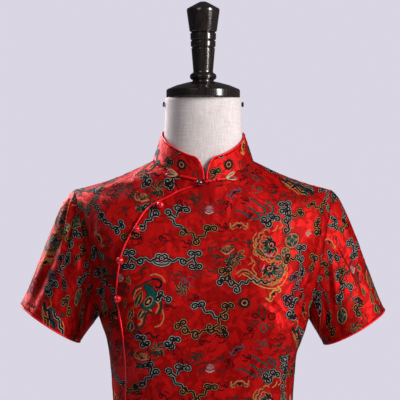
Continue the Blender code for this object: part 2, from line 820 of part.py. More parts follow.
def form_ring(up):
    ring = []
    for side in (FRONT, BACK):
        for j in range(FORM_COLUMNS + 1):
            across = side * (2 * FORM_SIDE * j / FORM_COLUMNS - FORM_SIDE)
            point = smooth_body(side, across, up)
            point -= body_normal(side, across, up) * form_inset(across, up)
            if up == FORM_UPS[0]:
                point.z = FORM_BOTTOM_Z
            ring.append(point)
    return ring


def neck_ring(half_width, half_depth, y, z, follow):
    """A ring of the neck with the columns of form_ring. follow lets it keep the neckline's dip."""
    ring = []
    for side in (FRONT, BACK):
        for j in range(FORM_COLUMNS + 1):
            across = side * (2 * FORM_SIDE * j / FORM_COLUMNS - FORM_SIDE)
            turn = across * QUARTER
            dip = (neckline(side, across).z - NECK_SIDE_Z) * follow
            ring.append(
                Vector((half_width * math.sin(turn), y - side * half_depth * math.cos(turn), z + dip))
            )
    return ring


FORM_UPS = [z - UNDERARM_Z for z in (FORM_BOTTOM_Z, 0.850, 0.900, 0.945, 0.985, 1.025, 1.060, 1.090, 1.115, 1.150)]
FORM_UPS += [0.2, 0.4, 0.6, 0.75, 0.88, 1.12, 1.25, 1.4, 1.6, 1.8]
form_rings = [form_ring(up) for up in FORM_UPS]
form_rings += [
    neck_ring(0.0660, 0.0550, -0.0050, NECK_SIDE_Z + 0.0010, 1.0),
    neck_ring(0.0605, 0.0490, -0.0045, 1.3990, 0.8),
    neck_ring(0.0580, 0.0470, -0.0045, 1.4200, 0.3),
    neck_ring(0.0562, 0.0470, -0.0045, NECK_TOP_Z, 0.0),
]
add_rings("form_torso", form_rings, LINEN)

add_turned("form_cap", CAP_PROFILE, LACQUER, steps=20, y=-0.0045)
add_turned("pole_socket", SOCKET_PROFILE, LACQUER, steps=20)
add_turned(
    "pole",
    (Turn(POLE_R, 0.0523), Turn(POLE_R, FORM_BOTTOM_Z - 0.0336)),
    STEEL,
    steps=16,
)
add_turned("base", BASE_PROFILE, LACQUER, steps=32)

PEG_R = 0.0036
PEG_Z = 1.4642
for hand, label in ((LEFT, "left"), (RIGHT, "right")):
    start = hand * (0.0568 + GAP)
    rings = [
        [
            Vector((start + hand * out, -0.0045 + r * math.cos(a), PEG_Z + r * math.sin(a)))
            for a in (2 * math.pi * k / 10 for k in range(10))
        ]
        for out, r in ((0, PEG_R * 0.6), (0.0008, PEG_R), (0.0024, PEG_R), (0.0032, PEG_R * 0.7))
    ]
    add_rings(f"neck_peg_{label}", rings, STEEL)
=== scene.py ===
import math

import bmesh
import bpy
import numpy as np
from mathutils import Matrix, Vector
from mathutils.bvhtree import BVHTree


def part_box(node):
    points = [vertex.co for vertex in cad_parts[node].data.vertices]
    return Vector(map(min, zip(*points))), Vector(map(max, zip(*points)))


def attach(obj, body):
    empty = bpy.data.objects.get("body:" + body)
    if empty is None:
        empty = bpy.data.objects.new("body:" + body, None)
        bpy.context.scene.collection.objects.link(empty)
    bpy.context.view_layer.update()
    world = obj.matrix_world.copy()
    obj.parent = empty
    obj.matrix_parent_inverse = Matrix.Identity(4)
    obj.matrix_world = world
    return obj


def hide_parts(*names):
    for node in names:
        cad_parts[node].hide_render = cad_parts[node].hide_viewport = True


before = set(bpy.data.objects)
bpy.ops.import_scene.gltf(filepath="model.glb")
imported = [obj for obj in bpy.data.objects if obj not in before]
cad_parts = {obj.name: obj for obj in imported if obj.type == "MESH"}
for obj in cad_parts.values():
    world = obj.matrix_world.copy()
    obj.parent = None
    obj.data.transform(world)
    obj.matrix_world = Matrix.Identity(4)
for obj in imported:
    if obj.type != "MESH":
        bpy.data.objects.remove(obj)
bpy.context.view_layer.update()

# ------------------------------------------------------------------------------ the studio
# A pale matt floor and a pale lavender surround, lit by a tall soft box high on the right, a weak
# one on the left and a soft window behind the left shoulder, as a shop photographs a dress.

scene = bpy.context.scene
scene.view_settings.view_transform = "Standard"

EYE_HEIGHT = 1.322
EYE_DISTANCE = 3.5
EYE_AZIMUTH = math.radians(-2.7)
VIEW_WIDTH = 0.596  # of what the camera sees at the dress
WATCHED = Vector((-0.0045, 0, EYE_HEIGHT))

camera = bpy.data.objects.new("camera", bpy.data.cameras.new("camera"))
scene.collection.objects.link(camera)
scene.camera = camera
camera.data.angle = 2 * math.atan(VIEW_WIDTH / 2 / EYE_DISTANCE)
camera.location = WATCHED + EYE_DISTANCE * Vector((math.sin(EYE_AZIMUTH), -math.cos(EYE_AZIMUTH), 0))
camera.rotation_euler = (WATCHED - camera.location).to_track_quat("-Z", "Y").to_euler()


def add_lamp(name, place, width, height, power, colour):
    """A soft box that shines on the middle of the dress."""
    lamp = bpy.data.lights.new(name, "AREA")
    lamp.shape, lamp.size, lamp.size_y = "RECTANGLE", width, height
    lamp.energy, lamp.color = power, colour
    made = bpy.data.objects.new(name, lamp)
    scene.collection.objects.link(made)
    made.location = place
    made.rotation_euler = (Vector((0, 0, 1.2)) - made.location).to_track_quat("-Z", "Y").to_euler()
    return made


add_lamp("soft_box_right", (1.6, -1.4, 2.05), 0.5, 1.5, 72, (1.0, 0.98, 0.96))
add_lamp("soft_box_left", (-1.3, -2.0, 2.5), 1.0, 1.0, 8, (0.97, 0.97, 1.0))
window = add_lamp("window_behind", (-1.15, 1.15, 2.15), 1.2, 1.2, 80, (1.0, 0.97, 1.0))

# The surround is bright behind the dress, and dim as a light
surround = bpy.data.worlds.new("surround")
surround.use_nodes = True
scene.world = surround
sky = surround.node_tree.nodes["Background"]
sky.inputs["Color"].default_value = (0.700, 0.672, 0.770, 1)
sight = surround.node_tree.nodes.new("ShaderNodeLightPath")
dimmer = surround.node_tree.nodes.new("ShaderNodeMapRange")
dimmer.inputs["To Min"].default_value = 0.075
dimmer.inputs["To Max"].default_value = 1.0
surround.node_tree.links.new(sight.outputs["Is Camera Ray"], dimmer.inputs["Value"])
surround.node_tree.links.new(dimmer.outputs["Result"], sky.inputs["Strength"])


def new_finish(name, colour, roughness, **sockets):
    """A material with its shader's own settings. Sockets are named with _ for a space."""
    made = bpy.data.materials.new(name)
    made.use_nodes = True
    shader = made.node_tree.nodes["Principled BSDF"]
    shader.inputs["Base Color"].default_value = (*colour, 1)
    shader.inputs["Roughness"].default_value = roughness
    for socket, value in sockets.items():
        shader.inputs[socket.replace("_", " ")].default_value = value
    return made


def add_node(finish, kind, *wires, **settings):
    """A node with its settings, and wires of (socket, value or the output that feeds it)."""
    made = finish.node_tree.nodes.new("ShaderNode" + kind)
    for name, value in settings.items():
        setattr(made, name, value)
    for socket, source in wires:
        if isinstance(source, bpy.types.NodeSocket):
            finish.node_tree.links.new(source, made.inputs[socket])
        else:
            made.inputs[socket].default_value = source
    return made


def place_in_room(finish):
    return add_node(finish, "TexCoord").outputs["Object"]


def noise(finish, place, scale, **sockets):
    """A cloudy pattern."""
    return add_node(finish, "TexNoise", ("Vector", place), ("Scale", scale), *sockets.items()).outputs["Fac"]


def two_tones(finish, factor, dark, light, low=0.35, high=0.65):
    """A colour that runs from dark to light as factor goes from low to high."""
    ramp = add_node(finish, "ValToRGB", ("Fac", factor))
    ramp.color_ramp.elements[0].position, ramp.color_ramp.elements[1].position = low, high
    ramp.color_ramp.elements[0].color, ramp.color_ramp.elements[1].color = (*dark, 1), (*light, 1)
    return ramp.outputs["Color"]


def feed(finish, socket, source):
    finish.node_tree.links.new(source, finish.node_tree.nodes["Principled BSDF"].inputs[socket])


def make_piece(name, bm, sharp=None):
    """An object of what the bmesh holds, smooth but for edges of more than sharp degrees."""
    mesh = bpy.data.meshes.new(name)
    bm.to_mesh(mesh)
    bm.free()
    mesh.shade_smooth()
    if sharp:
        mesh.set_sharp_from_angle(angle=math.radians(sharp))
    made = bpy.data.objects.new(name, mesh)
    scene.collection.objects.link(made)
    return made


FLOOR_PAINT = new_finish("pale_floor", (0.62, 0.60, 0.66), 0.9)
grain = noise(FLOOR_PAINT, place_in_room(FLOOR_PAINT), 3.0)
feed(FLOOR_PAINT, "Base Color", two_tones(FLOOR_PAINT, grain, (0.60, 0.58, 0.64), (0.64, 0.62, 0.68)))
bm = bmesh.new()
bmesh.ops.create_circle(bm, cap_ends=True, segments=96, radius=2.3)
floor = make_piece("floor", bm)
floor.data.materials.append(FLOOR_PAINT)

# ------------------------------------------------------------------------------ the brocade
# The cloth that every panel is cut from: red silk satin with a self-coloured damask, lined in red,
# and figured with clouds, peonies, coins, bats, lotus buds and coral in coloured silk wefts. The
# figures are woven in one repeat, and their wefts stand a little proud of the satin.

CLOTH_THICK = 0.0011
QUARTER = math.pi / 2


def place_on_cloth(finish):
    return add_node(finish, "UVMap", uv_map="flat").outputs["UV"]


def laid(finish, place, turn=0.0, stretch=(1.0, 1.0, 1.0)):
    """Places turned by turn and stretched, for threads that run another way."""
    wires = ("Vector", place), ("Rotation", (0, 0, turn)), ("Scale", stretch)
    return add_node(finish, "Mapping", *wires).outputs["Vector"]


def ribs(finish, place, scale, distortion=0.0):
    """Fine ribs side by side, as of thread or cord."""
    wires = ("Vector", place), ("Scale", scale), ("Distortion", distortion)
    return add_node(finish, "TexWave", *wires).outputs["Fac"]


def between_levels(finish, value, to_min, to_max, from_min=0.0, from_max=1.0):
    """value moved from its range to another."""
    ranges = ("From Min", from_min), ("From Max", from_max), ("To Min", to_min), ("To Max", to_max)
    return add_node(finish, "MapRange", ("Value", value), *ranges).outputs["Result"]


def multiplied(finish, one, other, share=1.0):
    """One colour darkened by another."""
    wires = ("Factor", share), ("A", one), ("B", other)
    return add_node(finish, "Mix", *wires, data_type="RGBA", blend_type="MULTIPLY").outputs["Result"]


def relief(finish, height, depth, beneath=None):
    """A bump of depth metres, over another bump if one is given."""
    bump = add_node(finish, "Bump", ("Height", height), ("Distance", depth))
    if beneath is not None:
        finish.node_tree.links.new(beneath, bump.inputs["Normal"])
    return bump.outputs["Normal"]


def satin(name, ground, deep, glint, lining):
    """Silk satin with a self-coloured damask of scrolls, and the finish of its lined inner face."""
    cloth = new_finish(name, ground, 0.40, Metallic=0.36, Specular_IOR_Level=0.12, Specular_Tint=(*glint, 1))
    flat = place_on_cloth(cloth)
    scrolls = between_levels(cloth, noise(cloth, flat, 30.0, Detail=1.0, Distortion=2.6), 0, 1, 0.47, 0.53)
    damask = two_tones(cloth, scrolls, deep, ground, 0.0, 1.0)
    outline = add_node(cloth, "ValToRGB", ("Fac", noise(cloth, flat, 46.0, Detail=0.5, Distortion=1.6)))
    for place, level in ((0.475, 1.0), (0.50, 0.45), (0.525, 1.0)):
        outline.color_ramp.elements.new(place).color = (level, level, level, 1)
    outline.color_ramp.elements[0].color = (1, 1, 1, 1)
    tendrils = multiplied(cloth, damask, outline.outputs["Color"], 0.8)
    faded = two_tones(cloth, noise(cloth, flat, 11.0, Detail=3.0), (0.84, 0.84, 0.84), (1, 1, 1))
    feed(cloth, "Base Color", multiplied(cloth, tendrils, faded))
    feed(cloth, "Roughness", between_levels(cloth, scrolls, 0.50, 0.41))
    twill = ribs(cloth, laid(cloth, flat, math.radians(38)), 520.0, 0.6)
    puckers = relief(cloth, noise(cloth, flat, 16.0, Detail=1.0), 0.0018)
    pulls = relief(cloth, noise(cloth, laid(cloth, flat, 0.2, (70, 17, 1)), 1.0, Detail=1.0), 0.0011, puckers)
    feed(cloth, "Normal", relief(cloth, twill, 0.00004, pulls))
    under = new_finish(name + "_lining", lining, 0.6, Sheen_Weight=0.2, Sheen_Tint=(1, 0.6, 0.6, 1))
    flat = place_on_cloth(under)
    feed(under, "Normal", relief(under, ribs(under, flat, 480.0, 0.4), 0.00006))
    feed(under, "Base Color", two_tones(under, noise(under, flat, 14.0), [c * 0.8 for c in lining], lining))
    return cloth, under


BROCADE, LINING = satin(
    "red_brocade", (0.49, 0.0050, 0.0046), (0.30, 0.0024, 0.0022), (1.0, 0.50, 0.52), (0.12, 0.004, 0.005)
)

# The silks: name, darker and lighter colour.
SILKS = (
    ("ink_silk", (0.004, 0.002, 0.004), (0.012, 0.006, 0.012)),
    ("mint_silk", (0.20, 0.23, 0.18), (0.42, 0.44, 0.37)),
    ("gold_silk", (0.32, 0.135, 0.030), (0.54, 0.27, 0.075)),
    ("teal_silk", (0.001, 0.028, 0.027), (0.003, 0.074, 0.064)),
    ("tan_silk", (0.23, 0.080, 0.028), (0.42, 0.165, 0.062)),
    ("plum_silk", (0.055, 0.016, 0.028), (0.15, 0.065, 0.090)),
    ("rose_silk", (0.36, 0.085, 0.085), (0.54, 0.21, 0.20)),
    ("shade_silk", (0.012, 0.002, 0.003), (0.036, 0.003, 0.005)),
    ("moss_silk", (0.005, 0.010, 0.009), (0.020, 0.026, 0.018)),
)
INK, MINT, GOLD, TEAL, TAN, PLUM, ROSE, SHADE, MOSS = range(9)


def silk(name, dark, light):
    """Weft threads that run sideways, with a low sheen."""
    made = new_finish(name, light, 0.55, Specular_IOR_Level=0.04)
    flat = place_on_cloth(made)
    feed(made, "Base Color", two_tones(made, noise(made, flat, 420.0, Detail=2.0), dark, light, 0.34, 0.62))
    feed(made, "Normal", relief(made, ribs(made, laid(made, flat, QUARTER), 560.0, 0.8), 0.00008))
    return made


SILK_FINISHES = [silk(*row) for row in SILKS]

REPEAT_SIZE = np.array([0.375, 0.234])  # across and up
WEFT_LIFT, WEFT_RISE = 0.00008, 0.00009  # of the lowest thread off the cloth, and of each over the one below
STACKING = 0.05  # of a rise between threads of one layer, so that they don't lie at one height

# One repeat of the figures, drawn in mm from the front's middle at the underarm. The places at of a
# figure are its x, y, turn in degrees and size.
repeat = bmesh.new()


def unit(vectors):
    return vectors / np.linalg.norm(vectors, axis=-1, keepdims=True)


def turned(points, x=0, y=0, degrees=0, size=1.0, mirrored=False):
    """Points of a figure, turned, sized and moved to its place."""
    points = np.asarray(points, float).reshape(-1, 2) * (-size if mirrored else size, size)
    c, s = math.cos(math.radians(degrees)), math.sin(math.radians(degrees))
    return np.stack([points[:, 0] * c - points[:, 1] * s + x, points[:, 0] * s + points[:, 1] * c + y], -1)


def run_lengths(path):
    """How far along the path each of its points is."""
    return np.concatenate([[0], np.cumsum(np.linalg.norm(np.diff(path, axis=0), axis=-1))])


def flowing(points, step=1.7):
    """A smooth line through points, in even steps."""
    points = np.asarray(points, float).reshape(-1, 2)
    ends = np.vstack([2 * points[0] - points[1], points, 2 * points[-1] - points[-2]])
    line = []
    for a, b, c, d in zip(ends, ends[1:], ends[2:], ends[3:]):
        for t in np.linspace(0, 1, 9)[:-1]:
            bend = (c - a) * t + (2 * a - 5 * b + 4 * c - d) * t**2 + (3 * b - a - 3 * c + d) * t**3
            line.append(0.5 * (2 * b + bend))
    line = np.array([*line, points[-1]])
    along = run_lengths(line)
    places = np.linspace(0, along[-1], max(3, round(along[-1] / step) + 1))
    return np.stack([np.interp(places, along, line[:, i]) for i in range(2)], -1)


def scroll(points, radius=0, hand=1):
    """A flowing line, carried on into a spiral that winds in, to the left for hand 1."""
    line = flowing(points)
    if not radius:
        return line
    heading = math.atan2(*(line[-1] - line[-2])[::-1])
    steps, turn, out = 11, math.radians(350) / 11, [line[-1]]
    for i in range(steps):
        heading += hand * turn / 2
        run = np.array([math.cos(heading), math.sin(heading)])
        out.append(out[-1] + radius * (1 - 0.72 * i / steps) * turn * run)
        heading += hand * turn / 2
    return np.vstack([line, out[1:]])


def lay_thread(columns, rows, thread, place_of):
    """A strip of faces of one silk. place_of gives the x, y and layer of each column and row."""
    lift = len(repeat.verts) % 9 * STACKING
    made = bmesh.ops.create_grid(repeat, x_segments=columns, y_segments=rows, size=0.5)
    for vert in made["verts"]:
        x, y, layer = place_of(round((vert.co.x + 0.5) * columns), round((vert.co.y + 0.5) * rows))
        vert.co = (x / 1000, y / 1000, WEFT_RISE * (layer + lift))
    for face in {face for vert in made["verts"] for face in vert.link_faces}:
        face.material_index = thread


def stripe(line, width, thread, layer, closed=False, crown=1):
    """A line of thread on the flat cloth, highest down its middle if crown is 2."""
    along = run_lengths(line)
    if closed:
        padded = np.vstack([line[-2], line, line[1]])
        run = unit(padded[2:] - padded[:-2])
        taper = np.ones(len(line))
    else:
        run = unit(np.gradient(line, axis=0))
        from_end = np.minimum(along, along[-1] - along) + 0.12 * width
        taper = np.sqrt(1 - (1 - np.clip(from_end / (width / 2), 0, 1)) ** 2)
    side = np.stack([-run[:, 1], run[:, 0]], -1)
    before, after = np.roll(run, 1, axis=0), np.roll(run, -1, axis=0)
    if not closed:
        before[0], after[-1] = run[0], run[-1]
    count = len(line) - 1
    bend = np.cross(before, after) / (2 * max(along[-1] / count, 1e-6))

    def edge(i, row):
        hand, reach = row * 2 // crown - 1, width / 2 * taper[i]
        if hand * bend[i] > 0:
            reach = min(reach, 0.9 / abs(bend[i]))
        return *(line[i] + side[i] * hand * reach), layer + (0.35 if hand == 0 else -0.35)

    lay_thread(count, crown, thread, edge)


def patch(outline, thread, layer, rings=2):
    """A filled shape of thread: its outline and smaller copies of it, in to its middle."""
    middle = outline[:-1].mean(axis=0)

    def ring(i, row):
        share = 1 - row / rings * 0.98
        return *(middle + (outline[i] - middle) * share), layer + 0.3 * (1 - share)

    lay_thread(len(outline) - 1, rings, thread, ring)


def between(start, finish, waves, lift=2.4):
    """A line that waves on its way from start to finish."""
    start, finish = np.array(start, float), np.array(finish, float)
    t = np.linspace(0, 1, max(3, round(waves * 4) + 1))[:, None]
    across = np.array([start[1] - finish[1], finish[0] - start[0]]) / np.linalg.norm(finish - start)
    return start + (finish - start) * t + across * lift * np.sin(2 * math.pi * waves * t)


def strokes(rows, layer, *at):
    """Flowing threads of a figure. Each row is its points, width and silk."""
    for points, width, thread in rows:
        stripe(turned(flowing(points), *at), width, thread, layer)


def tendrils(rows, width, thread, *at):
    """Thin threads, each of which may end in a curl of a radius and hand."""
    for points, *last in rows:
        stripe(turned(scroll(points, *last), *at), width, thread, 2)


# A cloud's head is two curls that meet over its stalk, and a hook is one curl that hangs.
HEAD_LINE = np.array([
    (-3.4, 3.2), (-2, 1.9), (-3.2, 0.2), (-5.6, 0.2), (-7.2, 2.6), (-5.6, 5.6), (-2.4, 5.9), (0, 3.6),
    (2.4, 5.9), (5.6, 5.6), (7.2, 2.6), (5.6, 0.2), (3.2, 0.2), (2, 1.9), (3.4, 3.2),
])
STALK_LINE = (0, -1.5, 0, 3)
HOOK_LINE = (0, 0, 2.4, -2.2, 2.4, -6, -0.8, -8.4, -4.6, -7, -4.8, -3.6, -2.2, -2.6, -1, -4.8)
# The clouds: arms as (silk, from x, y, to x, y, waves), heads as (silk, x, y, degrees, how wide),
# and hooks as (silk, x, y, degrees, hand). Each is woven with two edge silks, 0 and 1.
CLOUDS = {
    "band": (
        ((0, -49, 7, -49, -7, 0.5), (0, -49, 1, -28, 0, 1), (0, -28, 0, -8, 0, 1)),
        ((0, -48, 7, 2, 1.25), (0, -49, -7, 180, 1.25)),
        ((0, -30, 2, 0, 1),),
    ),
    "long": (
        ((0, -20, 13, -7, 12, 0.6), (0, -7, 12, 1, 22, 0.4), (0, -17, 9, 2, -7, 1.2),
         (1, 2, -7, 13, -12, 0.8), (1, 13, -12, 24, -22, 0.8), (1, 24, -22, 41, -8, 1.2)),
        ((0, 1, 21, -8, 1.5), (1, 42, -8, -6, 1.3)),
        ((0, -20, 13, 150, -1), (1, 2, -7, 14, 1), (1, 24, -22, -18, 1)),
    ),
    "slant": (
        ((0, 4, 22, 8, 8, 0.7), (0, 8, 8, 18, 12, 0.5), (0, 8, 8, -10, -8, 1.3), (1, -10, -8, -30, -22, 1.4)),
        ((0, 3, 22, 12, 1), (1, -15, -14, 124, 0.9)),
        ((0, 18, 12, -130, -1), (0, -4, -4, -24, 1), (1, -30, -22, -70, 1)),
    ),
    "valley": (
        ((1, -42, -12, -27, -21, 0.9), (1, -27, -21, -12, -19, 1), (1, -12, -19, 14, -20, 1.4),
         (1, 3, -19, 12, 0, 1), (1, 12, 0, 22, 16, 0.8), (0, 9, 1, -18, 16, 1.5)),
        ((1, -44, -11, 32, 1.2), (0, -19, 16, 14, 1.3), (1, 23, 15, 0, 1.1), (1, 15, -20, -70, 1)),
        ((1, -26, -21, 12, -1), (1, -36, -14, -20, 1), (1, 2, -12, -60, 1), (1, 14, 3, 60, -1)),
    ),
    "trail": (
        ((1, -14, 16, -6, 3, 0.8), (0, -18, 2, -4, -4, 0.7), (0, -6, 3, -4, -4, 0.5), (0, -4, -4, 22, 2, 1.9),
         (0, 22, 2, 46, -1, 1.6)),
        ((1, -14, 15, 14, 1.3), (0, -19, 0, 48, 0.9)),
        ((0, 2, -6, 8, 1), (1, -7, 5, -110, -1)),
    ),
    "fork": (
        ((0, 0, 16, 5, 2, 0.8), (0, 5, 2, -14, -10, 1.5), (0, 5, 2, 18, -8, 1), (1, 5, 2, 15, 15, 0.9)),
        ((0, 0, 15, 12, 1.1), (0, -14, -10, 110, 1), (1, 16, 15, -16, 0.9)),
        ((0, 18, -8, 0, -1), (0, -5, -5, -14, 1)),
    ),
    "hanging": (
        ((0, 0, 14, 6, 3, 0.8), (0, 6, 3, -2, -12, 1), (1, 6, 3, 20, 2, 1)),
        ((0, 0, 13, 10, 1.2), (1, 22, 3, -70, 1)),
        ((0, -2, -12, -10, 1), (0, 3, 0, -50, 1)),
    ),
    "small": (
        ((0, -11, -3, 3, 0, 1), (0, 3, 0, 7, 5, 0.4)),
        ((0, 7, 4, -16, 1.2),),
        ((0, -10, -3, 130, -1), (0, 1, 0, 0, 1)),
    ),
    "single": (((0, 0, 0, 7, -11, 0.9),), ((0, 0, 0, 10, 1.3),), ((0, 7, -11, -30, 1),)),
}


def add_cloud(kind, x, y, degrees, size, silks, mirrored=False):
    """A scrolling cloud in ink with bright edges. A band is drawn with its mirror image."""
    arms, heads, hooks = CLOUDS[kind]
    lines = [(silk, between(row[:2], row[2:4], 1.3 * row[4]), 2.0) for silk, *row in arms]
    for silk, *place, wide in heads:
        lines += [(silk, turned(part, *place), 1.4) for part in (HEAD_LINE * (wide, 1), STALK_LINE)]
    lines += [(silk, turned(HOOK_LINE, *place, 1.0, hand < 0), 1.4) for silk, *place, hand in hooks]
    for silk, line, step in lines:
        for flip in (False, True) if kind == "band" else (mirrored,):
            line_there = flowing(turned(line, x, y, degrees, size, flip), step)
            stripe(line_there, 6.2, SHADE, 1)
            stripe(line_there, 4.0, silks[silk], 2)
            stripe(line_there, 2.8, INK, 3)


def add_knot(x, y):
    """The knot in the middle of the band: two pairs of curls, one edged in rose, and a teal dish."""
    for line, width, edge, core in (
        (turned(HEAD_LINE * (1.15, 0.9), x, y + 2.6), 4.2, MINT, INK),
        (turned(HEAD_LINE * (1.35, 0.8), x, y + 2.4, 180), 4.0, ROSE, INK),
        (turned((-12.5, -1, -8.5, -5.6, 0, -7.6, 8.5, -5.6, 12.5, -1), x, y), 4.6, MINT, TEAL),
    ):
        line = flowing(line)
        stripe(line, width + 1.8, SHADE, 1)
        stripe(line, width, edge, 2)
        stripe(line, width - 1.7, core, 3, crown=2)


def ring_of(count, radius_x, radius_y=None, lobes=0, depth=0.0):
    """A closed oval outline, with lobes round it if any."""
    turn = np.linspace(0, 2 * math.pi, count + 1)
    radius = 1 - depth + depth * np.abs(np.sin(turn * lobes / 2)) ** 0.7 if lobes else np.ones(count + 1)
    return np.stack([radius_x * radius * np.cos(turn), (radius_y or radius_x) * radius * np.sin(turn)], -1)


def leaf_of(length, width):
    """A pointed outline that lies along x."""
    t = np.linspace(0, 1, 10)
    over = np.stack([t * length, np.sin(math.pi * t**0.8) * width / 2 * (1 + 0.12 * np.sin(t * 22))], -1)
    return np.vstack([over, over[::-1][1:] * (1, -1)])


def add_roundel(x, y):
    """Four lobed rings, one in another."""
    for radius, width, thread in ((8.4, 1.8, MOSS), (6.4, 2.6, SHADE), (4.0, 1.6, TAN), (1.8, 2.2, INK)):
        stripe(turned(ring_of(36, radius, radius * 0.9, 9, 0.12), x, y), width, thread, 3, closed=True)


def add_leaf(x, y, degrees, length, width, fill, edge):
    """A pointed leaf: a pale edge, a dark blade and a pale rib."""
    outline = turned(leaf_of(length, width), x, y, degrees)
    stripe(outline, 1.8, edge, 1, closed=True)
    patch(outline, fill, 2)
    strokes([((1.5, 0, length * 0.75, 0), width * 0.15, edge)], 3, x, y, degrees)


def frilled(radius, start, finish, lobes):
    """Part of a petal's frilled rim, round from start to finish in degrees."""
    turn = np.radians(np.linspace(start, finish, lobes * 6 + 1))
    frill = radius * (0.84 + 0.16 * np.abs(np.sin(np.linspace(0, lobes * math.pi, lobes * 6 + 1))) ** 0.6)
    return np.stack([frill * np.cos(turn), frill * np.sin(turn)], -1)


def add_bloom(*at):
    """Half a peony: frilled rims of tan and gold round dark bent plumes and a curled heart."""
    for radius, first, last, lobes, thread, width in (
        (26, -22, 188, 8, TAN, 2.2), (22.8, -14, 182, 8, MOSS, 1.5),
        (19.8, 4, 170, 6, TAN, 1.7), (29, 52, 150, 4, GOLD, 1.4),
    ):
        stripe(turned(frilled(radius, first, last, lobes), *at), width, thread, 1)
    for i, (angle, reach, wide, bend) in enumerate((
        (-30, 9, 3.8, 2.4), (-4, 12, 4.4, 3.0), (21, 10, 4.0, 2.4), (43, 14, 4.8, 2.8),
        (66, 10.5, 4.0, 1.6), (90, 14.5, 4.8, 0.8), (113, 11, 4.0, -1.6), (136, 14, 4.8, -2.8),
        (160, 10.5, 4.2, -2.4), (186, 12, 4.2, -3.0),
    )):
        plume = leaf_of(reach, wide)
        plume = plume + np.stack([4.4 + 0 * plume[:, 0], bend * (plume[:, 0] / reach) ** 2], -1)
        plume = turned(turned(plume, 0, 0, angle), *at)
        stripe(plume, 1.5, (TAN, GOLD, TAN, ROSE)[i % 4], 1.6, closed=True)
        patch(plume, (MOSS, SHADE, TEAL)[i % 3], 2.4)
    patch(turned(ring_of(20, 5.6, 4.6, 5, 0.15), *at), SHADE, 3)
    heart = (
        ((-5, -1.6, -2, -5.4, 3, -4.6, 5.4, 0.2), 1.6, INK),
        ((-3.4, 0.6, -0.4, -2.2, 2.6, 0, 0.8, 2.4), 1.6, ROSE),
        ((-6, 1.6, -3, 5, 1.6, 5.6, 5, 3), 1.6, TAN),
    )
    strokes(heart, 4, *at)


def add_coin(x, y, degrees, size):
    """A round cash coin: four teal lenses about its square hole, drawn round in tan."""
    for radius, width, thread in ((10.8, 1.6, TAN), (13.2, 0.9, MOSS)):
        stripe(turned(ring_of(40, radius), x, y, 0, size), width, thread, 2, closed=True)
    patch(turned(ring_of(30, 9.6), x, y, 0, size), SHADE, 1)
    for angle in range(degrees, degrees + 360, 90):
        lens = turned(leaf_of(12.4, 6.4) - (6.2, 0), 0, 6.3)
        patch(turned(lens, x, y, angle, size), TEAL, 2, 3)
        strokes([((-6.6, 7, 0, 3.2, 6.6, 7), 1.2, TAN)], 3, x, y, angle, size)
    square = flowing((-2.4, -2.4, 2.4, -2.4, 2.4, 2.4, -2.4, 2.4, -2.4, -2.4), 1.0)
    patch(turned(square, x, y, degrees + 45, size), TEAL, 4)


def add_bat(wing, rib, *at):
    """A bat seen from above: two drooping wings with upturned tips, ribbed, and a small head."""
    for flip in (False, True):
        strokes([((0, 3.2, 3.4, 4.6, 6.6, 1.6, 9.4, -1.2, 12.4, 0.6, 12.8, 4.8), 2.4, wing)], 2, *at, flip)
        strokes([((0, -1.6, 2.8, -2.4, 5.6, -0.2, 7.4, -4, 10.6, -4.8, 13.6, -1), 1.7, wing)], 2, *at, flip)
        for place in (1.6, 3.8, 6.0, 8.4):
            bar = (place, 2.8 - 0.45 * place, place + 0.5, -1.2 - 0.35 * place)
            stripe(turned(flowing(bar, 1.4), *at, flip), 1.3, rib, 3)
    patch(turned(ring_of(14, 2.2, 3.0), *at), rib, 3)


def add_bud(*at):
    """A lotus bud hatched in rose and plum, among thin dark tendrils."""
    patch(turned(ring_of(30, 7.0, 5.6, 5, 0.12), *at), PLUM, 1, 3)
    for i in range(-2, 3):
        hatch = (-5.5 + abs(i), i * 1.9, 5.5 - abs(i), i * 1.9)
        stripe(turned(flowing(hatch, 1.8), *at), 0.95, ROSE, 2)
    strokes([((-6.5, -4.4, -1, -7.2, 6.4, -4.6), 1.3, MINT)], 3, *at)
    around = (
        ((-7, -4, -13.5, -1, -15, -6.5, -9, -9, -8, -14),),
        ((7.5, -4, 13, -6, 19, -5.4, 21, -2),),
        ((-4, 5, -9, 8.5, -17, 3.6, -20, 8.2), 2.6, -1),
        ((2, 6, 3, 11.5, 8, 7.6, 14, 9), 3, 1),
        ((-20, 12, -25, 16, -28, 13),),
        ((14, 12, 19, 15, 20, 10),),
    )
    tendrils(around, 1.5, MOSS, *at)


